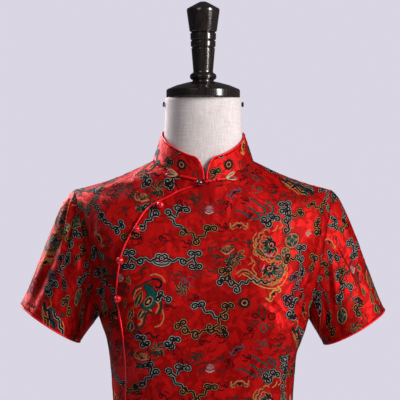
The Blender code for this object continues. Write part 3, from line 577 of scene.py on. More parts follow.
def add_fan(x, y, degrees, size):
    """A ragged fan leaf combed in dark silks, over a dark rosette and tendrils."""
    at = x, y, degrees, size
    turn = np.linspace(0.1, math.pi - 0.1, 29)
    reach = np.array([14.5, 11.6, 13.0, 11.0] * 8)[:29] * (0.86 + 0.2 * np.sin(turn * 1.7))
    rim = np.stack([reach * np.cos(turn), 0.62 * reach * np.sin(turn)], -1)
    patch(turned(np.vstack([(3.0, -6.5), rim, (-3.0, -6.5), (3.0, -6.5)]), *at), TAN, 1, 3)
    for i, a in enumerate(np.linspace(0.3, math.pi - 0.3, 11)):
        comb = (0.6 * math.cos(a), -4.5, 11.6 * math.cos(a), 7.4 * math.sin(a))
        stripe(turned(flowing(comb, 2.0), *at), 0.7, PLUM if i % 3 == 1 else SHADE, 2)
    around = (
        ((-4, -8, -10, -10, -14, -5, -20, -7), 3, -1),
        ((4, -8, 11, -8, 15, -2, 13, 5), 3, 1),
        ((8, -12, 15, -16, 20, -13), 2.4, 1),
        ((-2, 10, 4, 14, 12, 12, 16, 16), 2.4, -1),
    )
    tendrils(around, 1.7, MOSS, *at)
    heart = turned((2, -14), *at)[0]
    for i in range(7):
        length, edge = (7 + i % 3 * 2) * size, (TEAL, TAN, MOSS)[i % 3]
        add_leaf(*heart, degrees + 190 + i * 29, length, 3.6 * size, MOSS, edge)


def add_coral(*at):
    """A branch of coral: four wavy twigs that join."""
    twigs = (
        (-10, 16, -1, 10.5, 4, 5, 11, 2, 14, -3.6, 10.5, -8.2, 4, -6.8, 0.5, -7.8, -5, -2.6, -13, 2),
        (0.5, -7.8, 4.4, -11.6, 2, -16.6, -8, -16, -14, -11.6, -20, -7, -30, -4),
        (12.4, -8, 18.6, -9.6, 24.6, -6, 27.6, 2, 22.6, 8.2, 14.6, 12.6),
        (24.6, -1, 19, 2.8, 13.6, 7.4),
    )
    strokes([(twig, 2.6, TEAL) for twig in twigs], 2, *at)


def add_rings(*at):
    """A flower of open loops in dark silks."""
    for angle, reach, long, wide, thread in (
        (100, 11, 10, 4.6, MOSS), (20, 13, 5, 5, SHADE), (270, 12, 6, 4.4, TEAL),
        (318, 14, 5, 3.6, MOSS), (200, 13, 5.6, 3.4, MOSS), (155, 13, 4.4, 3, SHADE),
    ):
        ring = turned(turned(ring_of(30, long, wide), reach), 0, 0, angle)
        stripe(turned(ring, *at), 1.7, thread, 2, closed=True)
    patch(turned(ring_of(20, 2.6, 2.6, 5, 0.2), *at), SHADE, 2)


def add_hooks(x, y, degrees, size, thread=MOSS):
    """Three small hooked tendrils."""
    three = (
        ((-7, 3, -3, 5, -1, 0.5, 3, -1), 2, 1), ((4, 5.5, 8, 4, 9, -1), 2, -1), ((-6, -5, -1, -7, 4, -5.5),),
    )
    tendrils(three, 1.5, thread, x, y, degrees, size)


def add_spray(x, y, degrees, size):
    """A teal paisley with a gold eye, dark plumes down one side and banded tendrils down the other."""
    at = x, y, degrees, size
    drop = flowing((-7, -9, -1, -3, 1, 7, -3, 19, 7, 17, 13, 7, 12, -6, 5, -14, -3, -13, -7, -9), 2.2)
    stripe(turned(drop, *at), 3.2, MOSS, 1, closed=True)
    patch(turned(drop, *at), TEAL, 2, 3)
    for long, wide, *made in ((7.4, 4.6, 1.3, TAN, 3), (5.4, 2.9, 2.6, INK, 3), (2.6, 0.7, 1.2, GOLD, 4)):
        stripe(turned(turned(ring_of(24, long, wide), 3.4, -3.5, 55), *at), *made, closed=True)
    strokes([((2, 16, 5, 9, 4, 3), 1.8, MOSS)], 3, *at)
    for dx, dy, angle, long, wide in (
        (-14, -12, 72, 24, 8.5), (-22, -30, 76, 17, 7), (-9, -29, 58, 20, 7.5),
        (-20, -46, 84, 15, 10), (-2, -15, 244, 15, 7), (-32, -14, 84, 13, 5),
    ):
        add_leaf(*turned((dx, dy), *at)[0], degrees + angle, long * size, wide * size, MOSS, TAN)
    bands = (
        ((13, 4, 19, 0, 21.5, -9, 19, -20), 3.6, MOSS),
        ((12, -2, 16, -4, 18, -10, 14.5, -19), 2.0, TAN),
        ((11, -20, 4, -18, 0, -26, -1, -36, -8, -41, -14, -34), 3.2, MOSS),
        ((9, -16, 2, -13, -3, -22, -4, -33, -8, -36.5), 2.0, TAN),
        ((-20, 4, -16, 14, -8, 19, -2, 23, 6, 27), 2.6, MOSS),
        ((-18, -2, -15, 10, -7, 15), 1.8, TAN),
        ((6, 28, 15, 28, 20, 23, 17, 16.5, 11.5, 18.5), 3.2, INK),
        ((3, 32.5, 11, 35, 20, 31.5, 25, 24), 2.0, TAN),
        ((-8, 32, -10, 38, -5, 43, 0, 42), 2.4, MOSS),
        ((23, -13, 26, -24, 22, -34, 14, -38), 1.8, TAN),
        ((-30, 4, -34, 12, -30, 20), 1.8, MOSS),
        ((-8, -44, 0, -50, 8, -46, 14, -52, 22, -48), 2.4, INK),
        ((2, -56, -4, -62, 2, -68), 2.0, TAN),
    )
    strokes([(points, width * size, thread) for points, width, thread in bands], 2, *at)
    add_cloud("single", *turned((20, 4), *at)[0], degrees + 60, 0.8, (MINT, MINT))


def add_flower(*at):
    """A small dark flower: pointed petals that curl round a pale heart."""
    for i in range(7):
        petal = (2, 0, 5, 2.2, 9, 1, 11.5, -1.8)
        line = flowing(turned(turned(petal, 0, 0, i * 51), *at))
        stripe(line, 3.4, TEAL if i % 3 == 1 else TAN, 1)
        stripe(line, 2.3, MOSS, 2)
    patch(turned(ring_of(18, 2.8, 2.6), *at), TAN, 3)
    stripe(turned(ring_of(16, 1.2), *at), 1.0, INK, 4, closed=True)


def add_phoenix_tail(*at):
    """A phoenix tail: wavy ink feathers in gold, teal and pale edges, over a teal quill."""
    for points, edge in (
        ((-26, 12, -18, 6, -11, 8, -4, 1, 4, 2, 10, -5, 18, -4, 24, -11), TEAL),
        ((-20, 2, -12, -3, -6, -1, 2, -8, 9, -8, 15, -14), GOLD),
        ((-8, 15, 0, 9, 7, 10, 14, 3, 21, 3, 26, -3), MINT),
    ):
        line = flowing(turned(points, *at))
        stripe(line, 6.6, SHADE, 1)
        stripe(line, 4.6, edge, 2)
        stripe(line, 3.0, INK, 3, crown=2)
    quills = (
        ((-14, 12, -9, 14, -2, 14), 3.4, TEAL),
        ((-24, 6, -17, 0, -10, -6, -2, -12), 1.5, TAN),
        ((12, 12, 18, 9, 23, 4), 1.4, GOLD),
        ((0, -1, 6, -3, 12, -9), 1.6, TEAL),
        ((-30, 16, -26, 19, -22, 15), 1.5, MOSS),
        ((20, -14, 25, -17, 30, -15), 1.5, MOSS),
    )
    strokes(quills, 4, *at)


def add_plume(*at):
    """Combed tan strokes, like a feather."""
    for i in range(7):
        comb = turned(flowing((0, 0, 6, 1.4, 12.5 - abs(i - 3), 0)), 0, 0, -36 + i * 12)
        stripe(turned(comb, *at), 1.4, TAN if i % 2 else ROSE, 2)


# The clouds of the repeat: what, its place, its edge silks and whether it is mirrored. Then every
# other figure, with its place, its length and width if it is a leaf, and its silks if they differ.
for row in (
    ("slant", -87, 142, 0, 1, (MINT, GOLD)),
    ("long", -36, 140, 0, 1, (MINT, GOLD)),
    ("band", -65, 87, 0, 1, (MINT, MINT)),
    ("valley", 7, 2, 0, 1, (MINT, GOLD)),
    ("trail", 42, 54, 0, 1, (MINT, GOLD)),
    ("single", 120, 172, 0, 1, (MINT, MINT)),
    ("small", 93, 146, -6, 1.05, (MINT, MINT)),
    ("hanging", 122, 148, 8, 1, (MINT, GOLD)),
    ("hanging", 143, 82, 0, 1, (MINT, GOLD), True),
    ("fork", 133, 38, 6, 1.05, (ROSE, MINT)),
    ("small", 128, 8, 30, 1.05, (MINT, MINT)),
    ("long", -176, 176, 12, 0.8, (MINT, GOLD), True),
    ("slant", -146, 136, -78, 0.8, (MINT, MINT)),
    ("single", -176, 90, 60, 0.95, (MINT, MINT)),
    ("fork", -168, 46, 20, 0.95, (MINT, GOLD)),
    ("small", 178, 124, 60, 0.95, (GOLD, GOLD)),
    ("small", -140, 12, 80, 0.95, (GOLD, MINT), True),
    ("small", -52, -35, 10, 0.85, (MINT, MINT)),
    ("small", -92, -33, -20, 0.8, (MINT, MINT), True),
    ("single", 166, 4, 30, 0.95, (GOLD, MINT)),
    ("single", 174, 80, -20, 0.95, (GOLD, GOLD)),
):
    add_cloud(*row)
for add, *rows in (
    (add_knot, (-65, 87)),
    (add_roundel, (54, 24)),
    (add_bloom, (96, 110, 120, 0.95), (90, 74, 225, 0.9)),
    (add_flower, (40, 87, 20, 0.95), (-36, 44, 0, 0.85), (-71, -43, 10), (-160, -16, 0, 0.9)),
    (add_coin, (128, 113, 45, 1), (116, 97, 20, 0.62), (-176, 10, 45, 0.95)),
    (add_bat, (TAN, SHADE, 48, 138, 0, 1), (GOLD, SHADE, 97, 36, 42, 0.95),
     (TAN, SHADE, -164, 112, -56, 0.95), (PLUM, INK, 43, 190, 34, 0.85)),
    (add_bud, (5, 164), (-128, 62, 30, 0.85)),
    (add_fan, (29, 101, 8, 0.95), (-94, 179, -20, 0.9)),
    (add_coral, (74, 166)),
    (add_rings, (81, 0), (-138, 190, 100, 0.7)),
    (add_hooks,
     (76, 199, 0, 1.1, TEAL), (100, 194, 20, 1), (150, 178, -20, 1.1), (-124, 158, 60, 0.9),
     (4, 70, 0, 1.1), (-30, 112, 0, 0.9, SHADE), (-14, -52, 0, 1), (-120, 44, 90, 1),
     (30, 76, 80, 0.9, SHADE), (-150, 84, 20, 0.9), (118, 188, 60, 0.9), (134, 192, -40, 1),
     (112, 176, 150, 0.8), (166, 188, 30, 1), (-104, 186, 200, 0.9), (-74, 182, 20, 1),
     (-146, 108, 80, 1), (-142, 70, -70, 1.1), (-154, 60, 20, 1), (-134, 36, 100, 1.1),
     (-150, 28, -60, 1, TEAL), (-142, -8, 90, 1), (12, 106, 200, 1.1), (14, 86, 60, 0.9),
     (-46, 64, 10, 1.1), (-26, 54, 160, 1.2, PLUM), (-14, 66, 80, 0.9), (-110, -20, 0, 1.1),
     (-116, -44, 100, 1), (-2, -30, 200, 1, SHADE), (20, -26, 20, 1.1, SHADE), (-34, -66, 120, 1, SHADE),
     (60, -20, 60, 1, SHADE), (104, -30, 30, 1.1, SHADE), (64, 150, 70, 0.9, SHADE),
     (22, 136, 0, 1, SHADE), (-104, 116, 30, 1.1, SHADE), (-60, 120, 170, 0.9, SHADE),
     (-20, 28, 40, 1, SHADE), (-52, 20, 190, 1, SHADE), (150, 60, 80, 1), (156, 24, -20, 1, TEAL),
     (170, 56, 100, 1), (160, -18, 40, 1), (-176, 66, 20, 1), (-184, 150, 80, 1.1),
     (-150, 168, 140, 0.9), (-182, 32, 10, 0.9), (-170, -30, 70, 1, SHADE), (118, 126, 40, 0.8),
     (58, 112, 10, 0.8), (32, 168, 100, 0.9, SHADE), (-22, 178, 20, 1), (-48, 190, 140, 1, SHADE),
     (56, 178, 0, 0.8, SHADE)),
    (add_spray, (-88, 30, -4, 1.05)),
    (add_phoenix_tail, (150, 204, -14, 1.05)),
    (add_plume, (156, 112, 70), (-172, 192, 20)),
    (add_leaf, (72, 104, -44, 19, 6, MOSS, TAN), (56, 92, 190, 11, 5, MOSS, TAN),
     (-112, 52, 110, 12, 5, MOSS, TAN), (46, 96, 30, 10, 4, MOSS, TAN), (100, 92, 330, 12, 9, TEAL, TAN),
     (98, 64, 30, 15, 5, TEAL, TAN), (97, 58, 12, 14, 4.6, TEAL, TAN), (104, 72, 50, 12, 4.6, TEAL, TAN)),
):
    for row in rows:
        add(*row)
LOOSE_THREADS = (
    ((74, 128, 68, 118, 72, 108, 68, 98, 74, 92), 1.8, TAN),
    ((92, 134, 100, 146, 110, 146, 114, 138, 108, 134), 1.9, TAN),
    ((98, 130, 104, 134, 106, 140), 1.4, GOLD),
    ((84, 96, 92, 92, 98, 98), 1.8, ROSE),
    ((42, 66, 52, 73, 62, 70, 70, 62, 80, 56, 94, 50, 108, 53), 2, TAN),
    ((45, 62, 54, 68, 63, 65, 71, 57, 82, 52, 96, 47), 1.6, TAN),
    ((50, 70, 58, 70, 66, 63, 76, 57), 1.5, MOSS),
    ((52, 66, 60, 62, 70, 52, 86, 45, 104, 45, 116, 56, 118, 66), 1.5, GOLD),
    ((66, 116, 62, 108, 66, 100, 62, 94), 1.6, MOSS),
    ((78, 132, 88, 138, 96, 136), 1.6, MOSS),
    ((70, 88, 76, 84, 74, 76, 80, 70), 1.8, MOSS),
    ((104, 58, 110, 64, 112, 72, 106, 78), 2.2, TEAL),
    ((98, 56, 104, 62, 104, 70), 1.8, MOSS),
    ((84, 98, 92, 100, 96, 106), 2.4, TEAL),
    ((60, 80, 66, 84, 64, 92), 1.5, TAN),
    ((118, 128, 124, 134, 132, 132), 1.6, TAN),
    ((72, 66, 66, 74, 70, 82, 66, 88), 1.8, TAN),
    ((110, 62, 118, 70, 116, 80), 1.6, TAN),
    ((84, 80, 80, 70, 88, 66), 1.6, ROSE),
    ((-102, -46, -106, -53, -100, -59, -96, -53), 1.8, TAN),
    ((134, -2, 140, -10, 136, -18, 142, -26), 1.6, TAN),
)
strokes(LOOSE_THREADS, 2)

repeat_mesh = bpy.data.meshes.new("repeat")
repeat.to_mesh(repeat_mesh)
repeat.free()


def fit(made, node, *finishes):
    """Gives a piece its finishes, lets it ride with the stand, and hides the node it stands for, if one is
    given.
    """
    for finish in finishes:
        made.data.materials.append(finish)
    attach(made, "root")
    if node:
        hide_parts(node)
    return made


def smooth(t):
    t = np.clip(t, 0, 1)
    return t * t * (3 - 2 * t)


def outwards_of(points, flat):
    """Which way the cloth faces at each of its points."""
    normals = unit(np.cross(np.gradient(points, axis=1), np.gradient(points, axis=0)))
    turned_over = np.cross(flat[0, 1] - flat[0, 0], flat[1, 0] - flat[0, 0]) < 0
    return -normals if turned_over else normals


CREASE_FADE, SEAM_HOLD = 0.25, 0.006  # share of a crease that fades, and how far a seam holds it flat


def creased(points, flat, creases):
    """The points with soft creases pressed into the cloth. A crease is a line of places s, t on the
    flat cloth, then its width and its depth, or its height if it is a ridge, all in mm. Creases
    die away at the cloth's edges, where it is sewn."""
    depth = np.zeros(points.shape[:2])
    for *line, width, height in creases:
        line = np.array(line, float).reshape(-1, 2) / 1000
        along_line = run_lengths(line)
        nearest, share = np.full(depth.shape, 1e9), np.zeros(depth.shape)
        for start, end, before, span in zip(line, line[1:], along_line, np.diff(along_line)):
            run = (end - start) / span
            along = np.clip((flat - start) @ run, 0, span)
            away = np.linalg.norm(flat - start - along[..., None] * run, axis=-1)
            share = np.where(away < nearest, (before + along) / along_line[-1], share)
            nearest = np.minimum(nearest, away)
        ends = smooth(np.minimum(share, 1 - share) / CREASE_FADE)
        depth += height * ends * np.exp(-((nearest * 1000 / width) ** 1.6))
    across, up = flat[..., 0], flat[..., 1]
    in_row = np.minimum(np.abs(across - across[:, :1]), np.abs(across - across[:, -1:]))
    in_column = np.minimum(np.abs(up - up[:1]), np.abs(up - up[-1:]))
    fade = smooth(np.minimum(in_row, in_column) / SEAM_HOLD)
    return points + outwards_of(points, flat) * (depth * fade / 1000)[..., None]


def weave(name, points, flat, closed=False):
    """A sheet: a flat grid, each corner of which is laid at its point. Its UV map holds the flat
    places in metres. closed sews its first and last columns together."""
    rows, columns = points.shape[0] - 1, points.shape[1] - 1
    bm = bmesh.new()
    uv = bm.loops.layers.uv.new("flat")
    bmesh.ops.create_grid(bm, x_segments=columns, y_segments=rows, size=0.5)
    for vert in bm.verts:
        corner = round((vert.co.y + 0.5) * rows), round((vert.co.x + 0.5) * columns)
        vert.co = points[corner]
        for loop in vert.link_loops:
            loop[uv].uv = flat[corner]
    if closed:
        bmesh.ops.remove_doubles(bm, verts=bm.verts, dist=1e-6)
    return make_piece(name, bm)


def back_with(made, thick):
    """Gives a sheet its thickness, inwards, and its second finish on its inner face."""
    wall = made.modifiers.new("thickness", "SOLIDIFY")
    wall.thickness, wall.offset = thick, -1.0
    wall.use_even_offset = False
    wall.material_offset = 1


SPARE = 0.002  # how much of a figure is laid past the cloth's edges before it is cut off


def lay_figures(name, points, flat, shift):
    """Lays repeats of the figures on a piece of cloth, and cuts them off at its edges."""
    normals = outwards_of(points, flat).reshape(-1, 3)
    corners = np.arange(points.shape[0] * points.shape[1]).reshape(points.shape[:2])
    a, b, c, d = corners[:-1, :-1], corners[:-1, 1:], corners[1:, 1:], corners[1:, :-1]
    triangles = np.concatenate([np.stack(three, -1).reshape(-1, 3) for three in ((a, b, c), (a, c, d))])
    places, spots = flat.reshape(-1, 2), points.reshape(-1, 3)
    tree = BVHTree.FromPolygons([(s, t, 0) for s, t in places.tolist()], triangles.tolist())
    low, high = places.min(axis=0) - SPARE, places.max(axis=0) + SPARE
    tile = np.array([v.co[:2] for v in repeat_mesh.vertices])
    laid_copy = bpy.data.meshes.new("laid_copy")
    bm = bmesh.new()
    # Enough repeats for the widest and longest piece, each without what lies off the cloth
    for step in [(i, j) for i in range(-3, 4) for j in range(-6, 7)]:
        move = shift + REPEAT_SIZE * step
        inside = ((tile + move > low) & (tile + move < high)).all(axis=1)
        if not inside.any():
            continue
        copy = bmesh.new()
        copy.from_mesh(repeat_mesh)
        bmesh.ops.translate(copy, verts=copy.verts, vec=(*move, 0))
        bmesh.ops.delete(copy, geom=[v for v, kept in zip(copy.verts, inside) if not kept], context="VERTS")
        copy.to_mesh(laid_copy)
        copy.free()
        bm.from_mesh(laid_copy)
    bm.verts.index_update()
    # Each corner of a thread goes to its share of the cloth's triangle that holds its flat place
    found = [tree.find_nearest((v.co.x, v.co.y, 0)) for v in bm.verts]
    beyond = np.array([hit[3] for hit in found]) > 1e-5
    laid_at = np.array([hit[0][:2] for hit in found])
    three = triangles[[hit[2] for hit in found]]
    flat_a, flat_b, flat_c = (places[three[:, i]] for i in range(3))
    whole = np.cross(flat_b - flat_a, flat_c - flat_a)
    gathered = whole == 0  # a triangle of the cloth that has no width, as at an armpit, holds no thread
    whole[gathered] = 1
    cut_off = [
        face for face in bm.faces
        if all(beyond[v.index] for v in face.verts) or any(gathered[v.index] for v in face.verts)
    ]
    share_b = np.cross(laid_at - flat_a, flat_c - flat_a) / whole
    share_c = np.cross(flat_b - flat_a, laid_at - flat_a) / whole
    shares = np.clip(np.stack([1 - share_b - share_c, share_b, share_c], -1), 0, 1)[..., None]
    heights = WEFT_LIFT + np.array([v.co.z for v in bm.verts])[:, None]
    raised = (spots[three] * shares).sum(axis=1) + unit((normals[three] * shares).sum(axis=1)) * heights
    uv = bm.loops.layers.uv.new("flat")
    for vert, spot, place in zip(bm.verts, raised, laid_at):
        vert.co = spot
        for loop in vert.link_loops:
            loop[uv].uv = place
    bmesh.ops.delete(bm, geom=cut_off, context="FACES")
    return fit(make_piece(name, bm), None, *SILK_FINISHES)


# A large piece's figures are made in two parts, by rows of its cloth, so that neither is too heavy.
IN_ONE = (("", slice(None)),)
LOW_AND_HIGH = (("_low", slice(None, 118)), ("_high", slice(117, None)))


def sew_piece(name, node, points, flat, shift, held="hung", parts=IN_ONE, thick=CLOTH_THICK, closed=False):
    """A piece of the brocade with its lining and its figures, whose repeat is moved by shift. Its
    cut is measured on the flat cloth."""
    made = weave(f"{name}_cloth", points, flat, closed)
    back_with(made, thick)
    fit(made, node, BROCADE, LINING)
    figures = [lay_figures(f"{name}_figures{part}", points[rows], flat[rows], shift) for part, rows in parts]
    return made


# ------------------------------------------------------------------------------ the front
# One piece of red silk satin from the throat, over the left shoulder, to the hem. It crosses to the
# right side seam, where it closes over the underlap. Bust and waist darts give it its shape, and
# the cloth drags in soft folds from each armpit.

GAP = 0.0003
HEM_Z = 0.330
SLIT_TOP_Z = 0.610
UNDERARM_Z = 1.150
SLIT_SPREAD = 0.004
FRONT, BACK = 1, -1

# Sections of the dress: height, half its width, its depth to the front and to the back, and how
# far it swells between its middle and its sides, front and back.
SECTIONS = np.array(
    [
        (0.330, 0.1890, 0.1130, 0.1160, 0.010, 0.010),
        (0.470, 0.1865, 0.1130, 0.1170, 0.010, 0.010),
        (0.640, 0.1850, 0.1150, 0.1210, 0.009, 0.011),
        (0.790, 0.1800, 0.1160, 0.1230, 0.008, 0.013),
        (0.880, 0.1620, 0.1110, 0.1090, 0.005, 0.010),
        (0.985, 0.1345, 0.0990, 0.0820, 0.004, 0.004),
        (1.055, 0.1360, 0.1080, 0.0860, 0.013, 0.005),
        (1.115, 0.1430, 0.1190, 0.0930, 0.027, 0.006),
        (1.150, 0.1550, 0.1210, 0.0960, 0.024, 0.007),
        (1.200, 0.1640, 0.1160, 0.0980, 0.014, 0.007),
        (1.250, 0.1730, 0.1030, 0.0950, 0.007, 0.006),
        (1.310, 0.1850, 0.0850, 0.0810, 0.003, 0.005),
        (1.335, 0.1910, 0.0780, 0.0730, 0.002, 0.004),
    ]
)
HALF_WIDTH, DEPTH, SWELL = 1, {FRONT: 2, BACK: 3}, {FRONT: 4, BACK: 5}
SWELL_SIDEWAYS = 0.6

ARMHOLE_HEIGHT, ARMHOLE_LOW_X, ARMHOLE_SPREAD = 0.187, 0.155, 0.036
ARMHOLE_FRONT, ARMHOLE_BACK, ARMHOLE_SKEW = 0.055, 0.050, 0.15
CHEST_TURNS = np.array([(0.0, 90), (0.2, 75), (0.5, 70), (0.8, 71), (1.0, 79)])
SHOULDER_RISE = {FRONT: 0.160, BACK: 0.185}
NECK_HALF, NECK_SIDE_Z, SHOULDER_SAG = 0.0750, 1.380, 0.0045
NECK_DEPTH, NECK_RISE = {FRONT: 0.070, BACK: 0.062}, {FRONT: -0.030, BACK: 0.012}

# The free edge, from the right side seam above the slit up to the throat: height and x.
FREE_EDGE = np.array(
    [
        (0.6650, -0.1870), (0.7300, -0.1780), (0.7900, -0.1670), (0.8850, -0.1420),
        (0.9850, -0.1180), (1.0335, -0.1150), (1.0770, -0.1152), (1.1148, -0.1184),
        (1.1449, -0.1225), (1.1702, -0.1272), (1.1897, -0.1290), (1.2180, -0.1262),
        (1.2423, -0.1215), (1.2637, -0.1125), (1.2868, -0.0994), (1.3037, -0.0880),
        (1.3115, -0.0805), (1.3174, -0.0711), (1.3239, -0.0572), (1.3337, -0.0384),
        (1.3423, -0.0148), (1.3500, -0.0020),
    ]
)
FREE_EDGE_END_Z = 0.660

# Folds: a line in the front view, how wide and how deep. The first of each list are the deep ones.
FRONT_FOLDS = (
    (0.158, 1.262, 0.140, 1.150, 0.012, -0.0035),
    (0.168, 1.215, 0.128, 1.085, 0.009, 0.0030),
    (0.142, 1.135, 0.118, 1.000, 0.008, -0.0025),
    (-0.160, 1.262, -0.144, 1.165, 0.012, -0.0035),
    (0.084, 1.085, 0.078, 0.900, 0.007, -0.0014),
    (-0.084, 1.085, -0.078, 0.900, 0.007, -0.0014),
    (0.118, 1.128, 0.152, 1.150, 0.008, -0.0014),
    (0.060, 0.960, -0.050, 0.935, 0.012, -0.0016),
)
FOLD_FADE, SEAM_FADE = 0.25, 0.14  # shares of a fold's length, and of a half panel, that fade


def through(rows, column, at):
    """A column of a table at the places at in its first column, on a smooth curve through it."""
    places, values = rows[:, 0], rows[:, column]
    ends = np.pad(np.arange(len(rows)), 1, mode="edge")
    slopes = (values[ends[2:]] - values[ends[:-2]]) / (places[ends[2:]] - places[ends[:-2]])
    at = np.clip(at, places[0], places[-1])
    i = np.clip(np.searchsorted(places, at, side="right") - 1, 0, len(places) - 2)
    span = places[i + 1] - places[i]
    t = (at - places[i]) / span
    rise = t * t * (3 - 2 * t)
    bend = t * (1 - t) * span * ((1 - t) * slopes[i] - t * slopes[i + 1])
    return (1 - rise) * values[i] + rise * values[i + 1] + bend


def armhole(turn):
    """The left armhole. turn is 0 at the underarm and pi at the shoulder tip, by the front."""
    rise = (1 - np.cos(turn)) / 2
    reach = np.where(np.sin(turn) >= 0, ARMHOLE_FRONT, ARMHOLE_BACK)
    depth = reach * np.sin(turn) * (1 + ARMHOLE_SKEW * np.cos(turn))
    return np.stack([ARMHOLE_LOW_X + ARMHOLE_SPREAD * rise, -depth, UNDERARM_Z + ARMHOLE_HEIGHT * rise], -1)


def section(side, across, up):
    """A place on the chest or skirt. across is -1 to 1 between the side lines. up is metres below
    the underarm when negative, and 0 to 1 from there along the armhole."""
    low = up <= 0
    edge = armhole(math.pi * np.clip(up, 0, 1) * side)
    middle_z = UNDERARM_Z + np.where(low, up, SHOULDER_RISE[side] * up)
    edge_z = np.where(low, middle_z, edge[..., 2])
    half = np.where(low, through(SECTIONS, HALF_WIDTH, middle_z), edge[..., 0])
    edge_depth = np.where(low, 0, -side * edge[..., 1])
    turn = np.where(low, QUARTER, np.radians(through(CHEST_TURNS, 1, up)))
    depth = through(SECTIONS, DEPTH[side], middle_z)
    swell = through(SECTIONS, SWELL[side], middle_z) * np.sin(math.pi * across) ** 2
    bend = (1 - np.cos(across * turn)) / (1 - np.cos(turn))
    x = half * np.sin(across * turn) / np.sin(turn) + SWELL_SIDEWAYS * swell * np.sign(across)
    y = -side * (depth * (1 - bend) + edge_depth * bend + swell)
    return np.stack([x, y, middle_z + (edge_z - middle_z) * smooth(np.abs(across))], -1)


def neckline(side, across):
    """A place on the neckline, where across is -1 to 1 between the shoulders."""
    turn = across * QUARTER
    y, z = -side * NECK_DEPTH[side] * np.cos(turn), NECK_SIDE_Z + NECK_RISE[side] * np.cos(turn) ** 2
    return np.stack([NECK_HALF * np.sin(turn), y, z], -1)


def smooth_body(side, across, up):
    """The dress without its folds. up from 1 to 2 runs from the armholes' top to the neckline."""
    across, up = np.broadcast_arrays(np.asarray(across, float), np.asarray(up, float))
    share = np.clip(up - 1, 0, None)[..., None]
    point = section(side, across, np.minimum(up, 1)) * (1 - share) + neckline(side, across) * share
    point[..., 2] -= SHOULDER_SAG * np.sin(math.pi * share[..., 0]) * across * across
    return point


def body_normal(side, across, up):
    """Which way the dress faces."""
    step = np.where(np.asarray(up) > 0, 0.01, 0.003)
    along = smooth_body(side, across + 0.01, up) - smooth_body(side, across - 0.01, up)
    rising = smooth_body(side, across, up + step) - smooth_body(side, across, up - step)
    return unit(np.cross(along, rising)) * side


def fold_depth(folds, across, point):
    """How far the folds lift the cloth, less near its seams."""
    total = np.zeros(point.shape[:-1])
    for x0, z0, x1, z1, width, depth in folds:
        run_x, run_z = x1 - x0, z1 - z0
        place_x, place_z = point[..., 0] - x0, point[..., 2] - z0
        along = (place_x * run_x + place_z * run_z) / (run_x**2 + run_z**2)
        off = (place_x * run_z - place_z * run_x) / math.hypot(run_x, run_z)
        ends = smooth(np.minimum(along, 1 - along) / FOLD_FADE)
        total += depth * ends * np.exp(-((off / width) ** 2))
    return total * smooth((1 - np.abs(across)) / SEAM_FADE)


def body(side, across, up, folds, inset=0.0):
    """The dress with its folds, drawn in by inset."""
    point = smooth_body(side, across, up)
    normal = body_normal(side, across, up)
    return point + normal * (fold_depth(folds, across, point) - inset)[..., None]


def per_across(side, across, up):
    """Metres of cloth to one unit of across."""
    step = smooth_body(side, across + 0.005, up) - smooth_body(side, across - 0.005, up)
    return np.linalg.norm(step, axis=-1) / 0.01


def side_limit(side, up):
    """The largest across of a panel: just short of a seam, and further back on a slit."""
    z = UNDERARM_Z + up
    slit = SLIT_SPREAD * smooth((SLIT_TOP_Z - z) / (SLIT_TOP_Z - HEM_Z))
    return np.where((up > 0) & (up < 1), 1.0, 1.0 - (GAP / 2 + slit) / per_across(side, 0.99, up))


def free_edge(up):
    """Where the front's free edge crosses the row at up."""
    low, high = np.full(up.shape, -1.0), np.zeros(up.shape)
    for _ in range(40):
        middle = (low + high) / 2
        point = smooth_body(FRONT, middle, up)
        beyond = point[..., 0] < through(FREE_EDGE, 1, point[..., 2])
        low, high = np.where(beyond, middle, low), np.where(beyond, high, middle)
    limit = -side_limit(FRONT, up)
    return np.where(UNDERARM_Z + up < FREE_EDGE_END_Z, limit, np.maximum(high, limit))


def flat_heights(points, sideways):
    """How far up the flat cloth the points of a panel lay, whose places sideways are given, so that
    each column of the cloth keeps its length."""
    down = np.linalg.norm(np.diff(points, axis=0), axis=-1)
    rise = np.sqrt(np.maximum(down**2 - np.diff(sideways, axis=0) ** 2, 0))
    return np.vstack([np.zeros((1, points.shape[1])), np.cumsum(rise, axis=0)])


def row_places(side, across, up):
    """How far round the row each place lies from the middle."""
    shares = np.linspace(0, 1, 25)[:, None, None]
    line = smooth_body(side, across * shares, np.broadcast_to(up, (25, *across.shape)))
    return np.linalg.norm(np.diff(line, axis=0), axis=-1).sum(axis=0) * np.sign(across)


DOWN = np.linspace(1, 0, 171)
LOW_UPS = (HEM_Z - UNDERARM_Z) * DOWN * (0.55 + 0.45 * DOWN)  # closer together near the armpits
PANEL_UPS = np.concatenate([LOW_UPS, np.linspace(0, 1, 67)[1:], np.linspace(1, 2, 31)[1:]])


def cut_panel(side, ups, low, high, columns, folds, creases, inset=None):
    """Points and flat places of a panel whose rows run from low to high."""
    steps = np.linspace(-1, 1, columns + 1)
    steps = (steps * (1 + 0.25 * (1 - steps**2)) + 1) / 2
    across = low[:, None] + (high - low)[:, None] * steps[None, :]
    up = np.broadcast_to(ups[:, None], across.shape)
    lower = inset(across, up) if inset else np.zeros(across.shape)
    points = body(side, across, up, folds, lower)
    s = row_places(side, across, up) * side
    t = flat_heights(smooth_body(side, across, up), s)
    flat = np.stack([s, t - t[int(np.argmin(np.abs(ups)))]], -1)
    return creased(points, flat, creases), flat


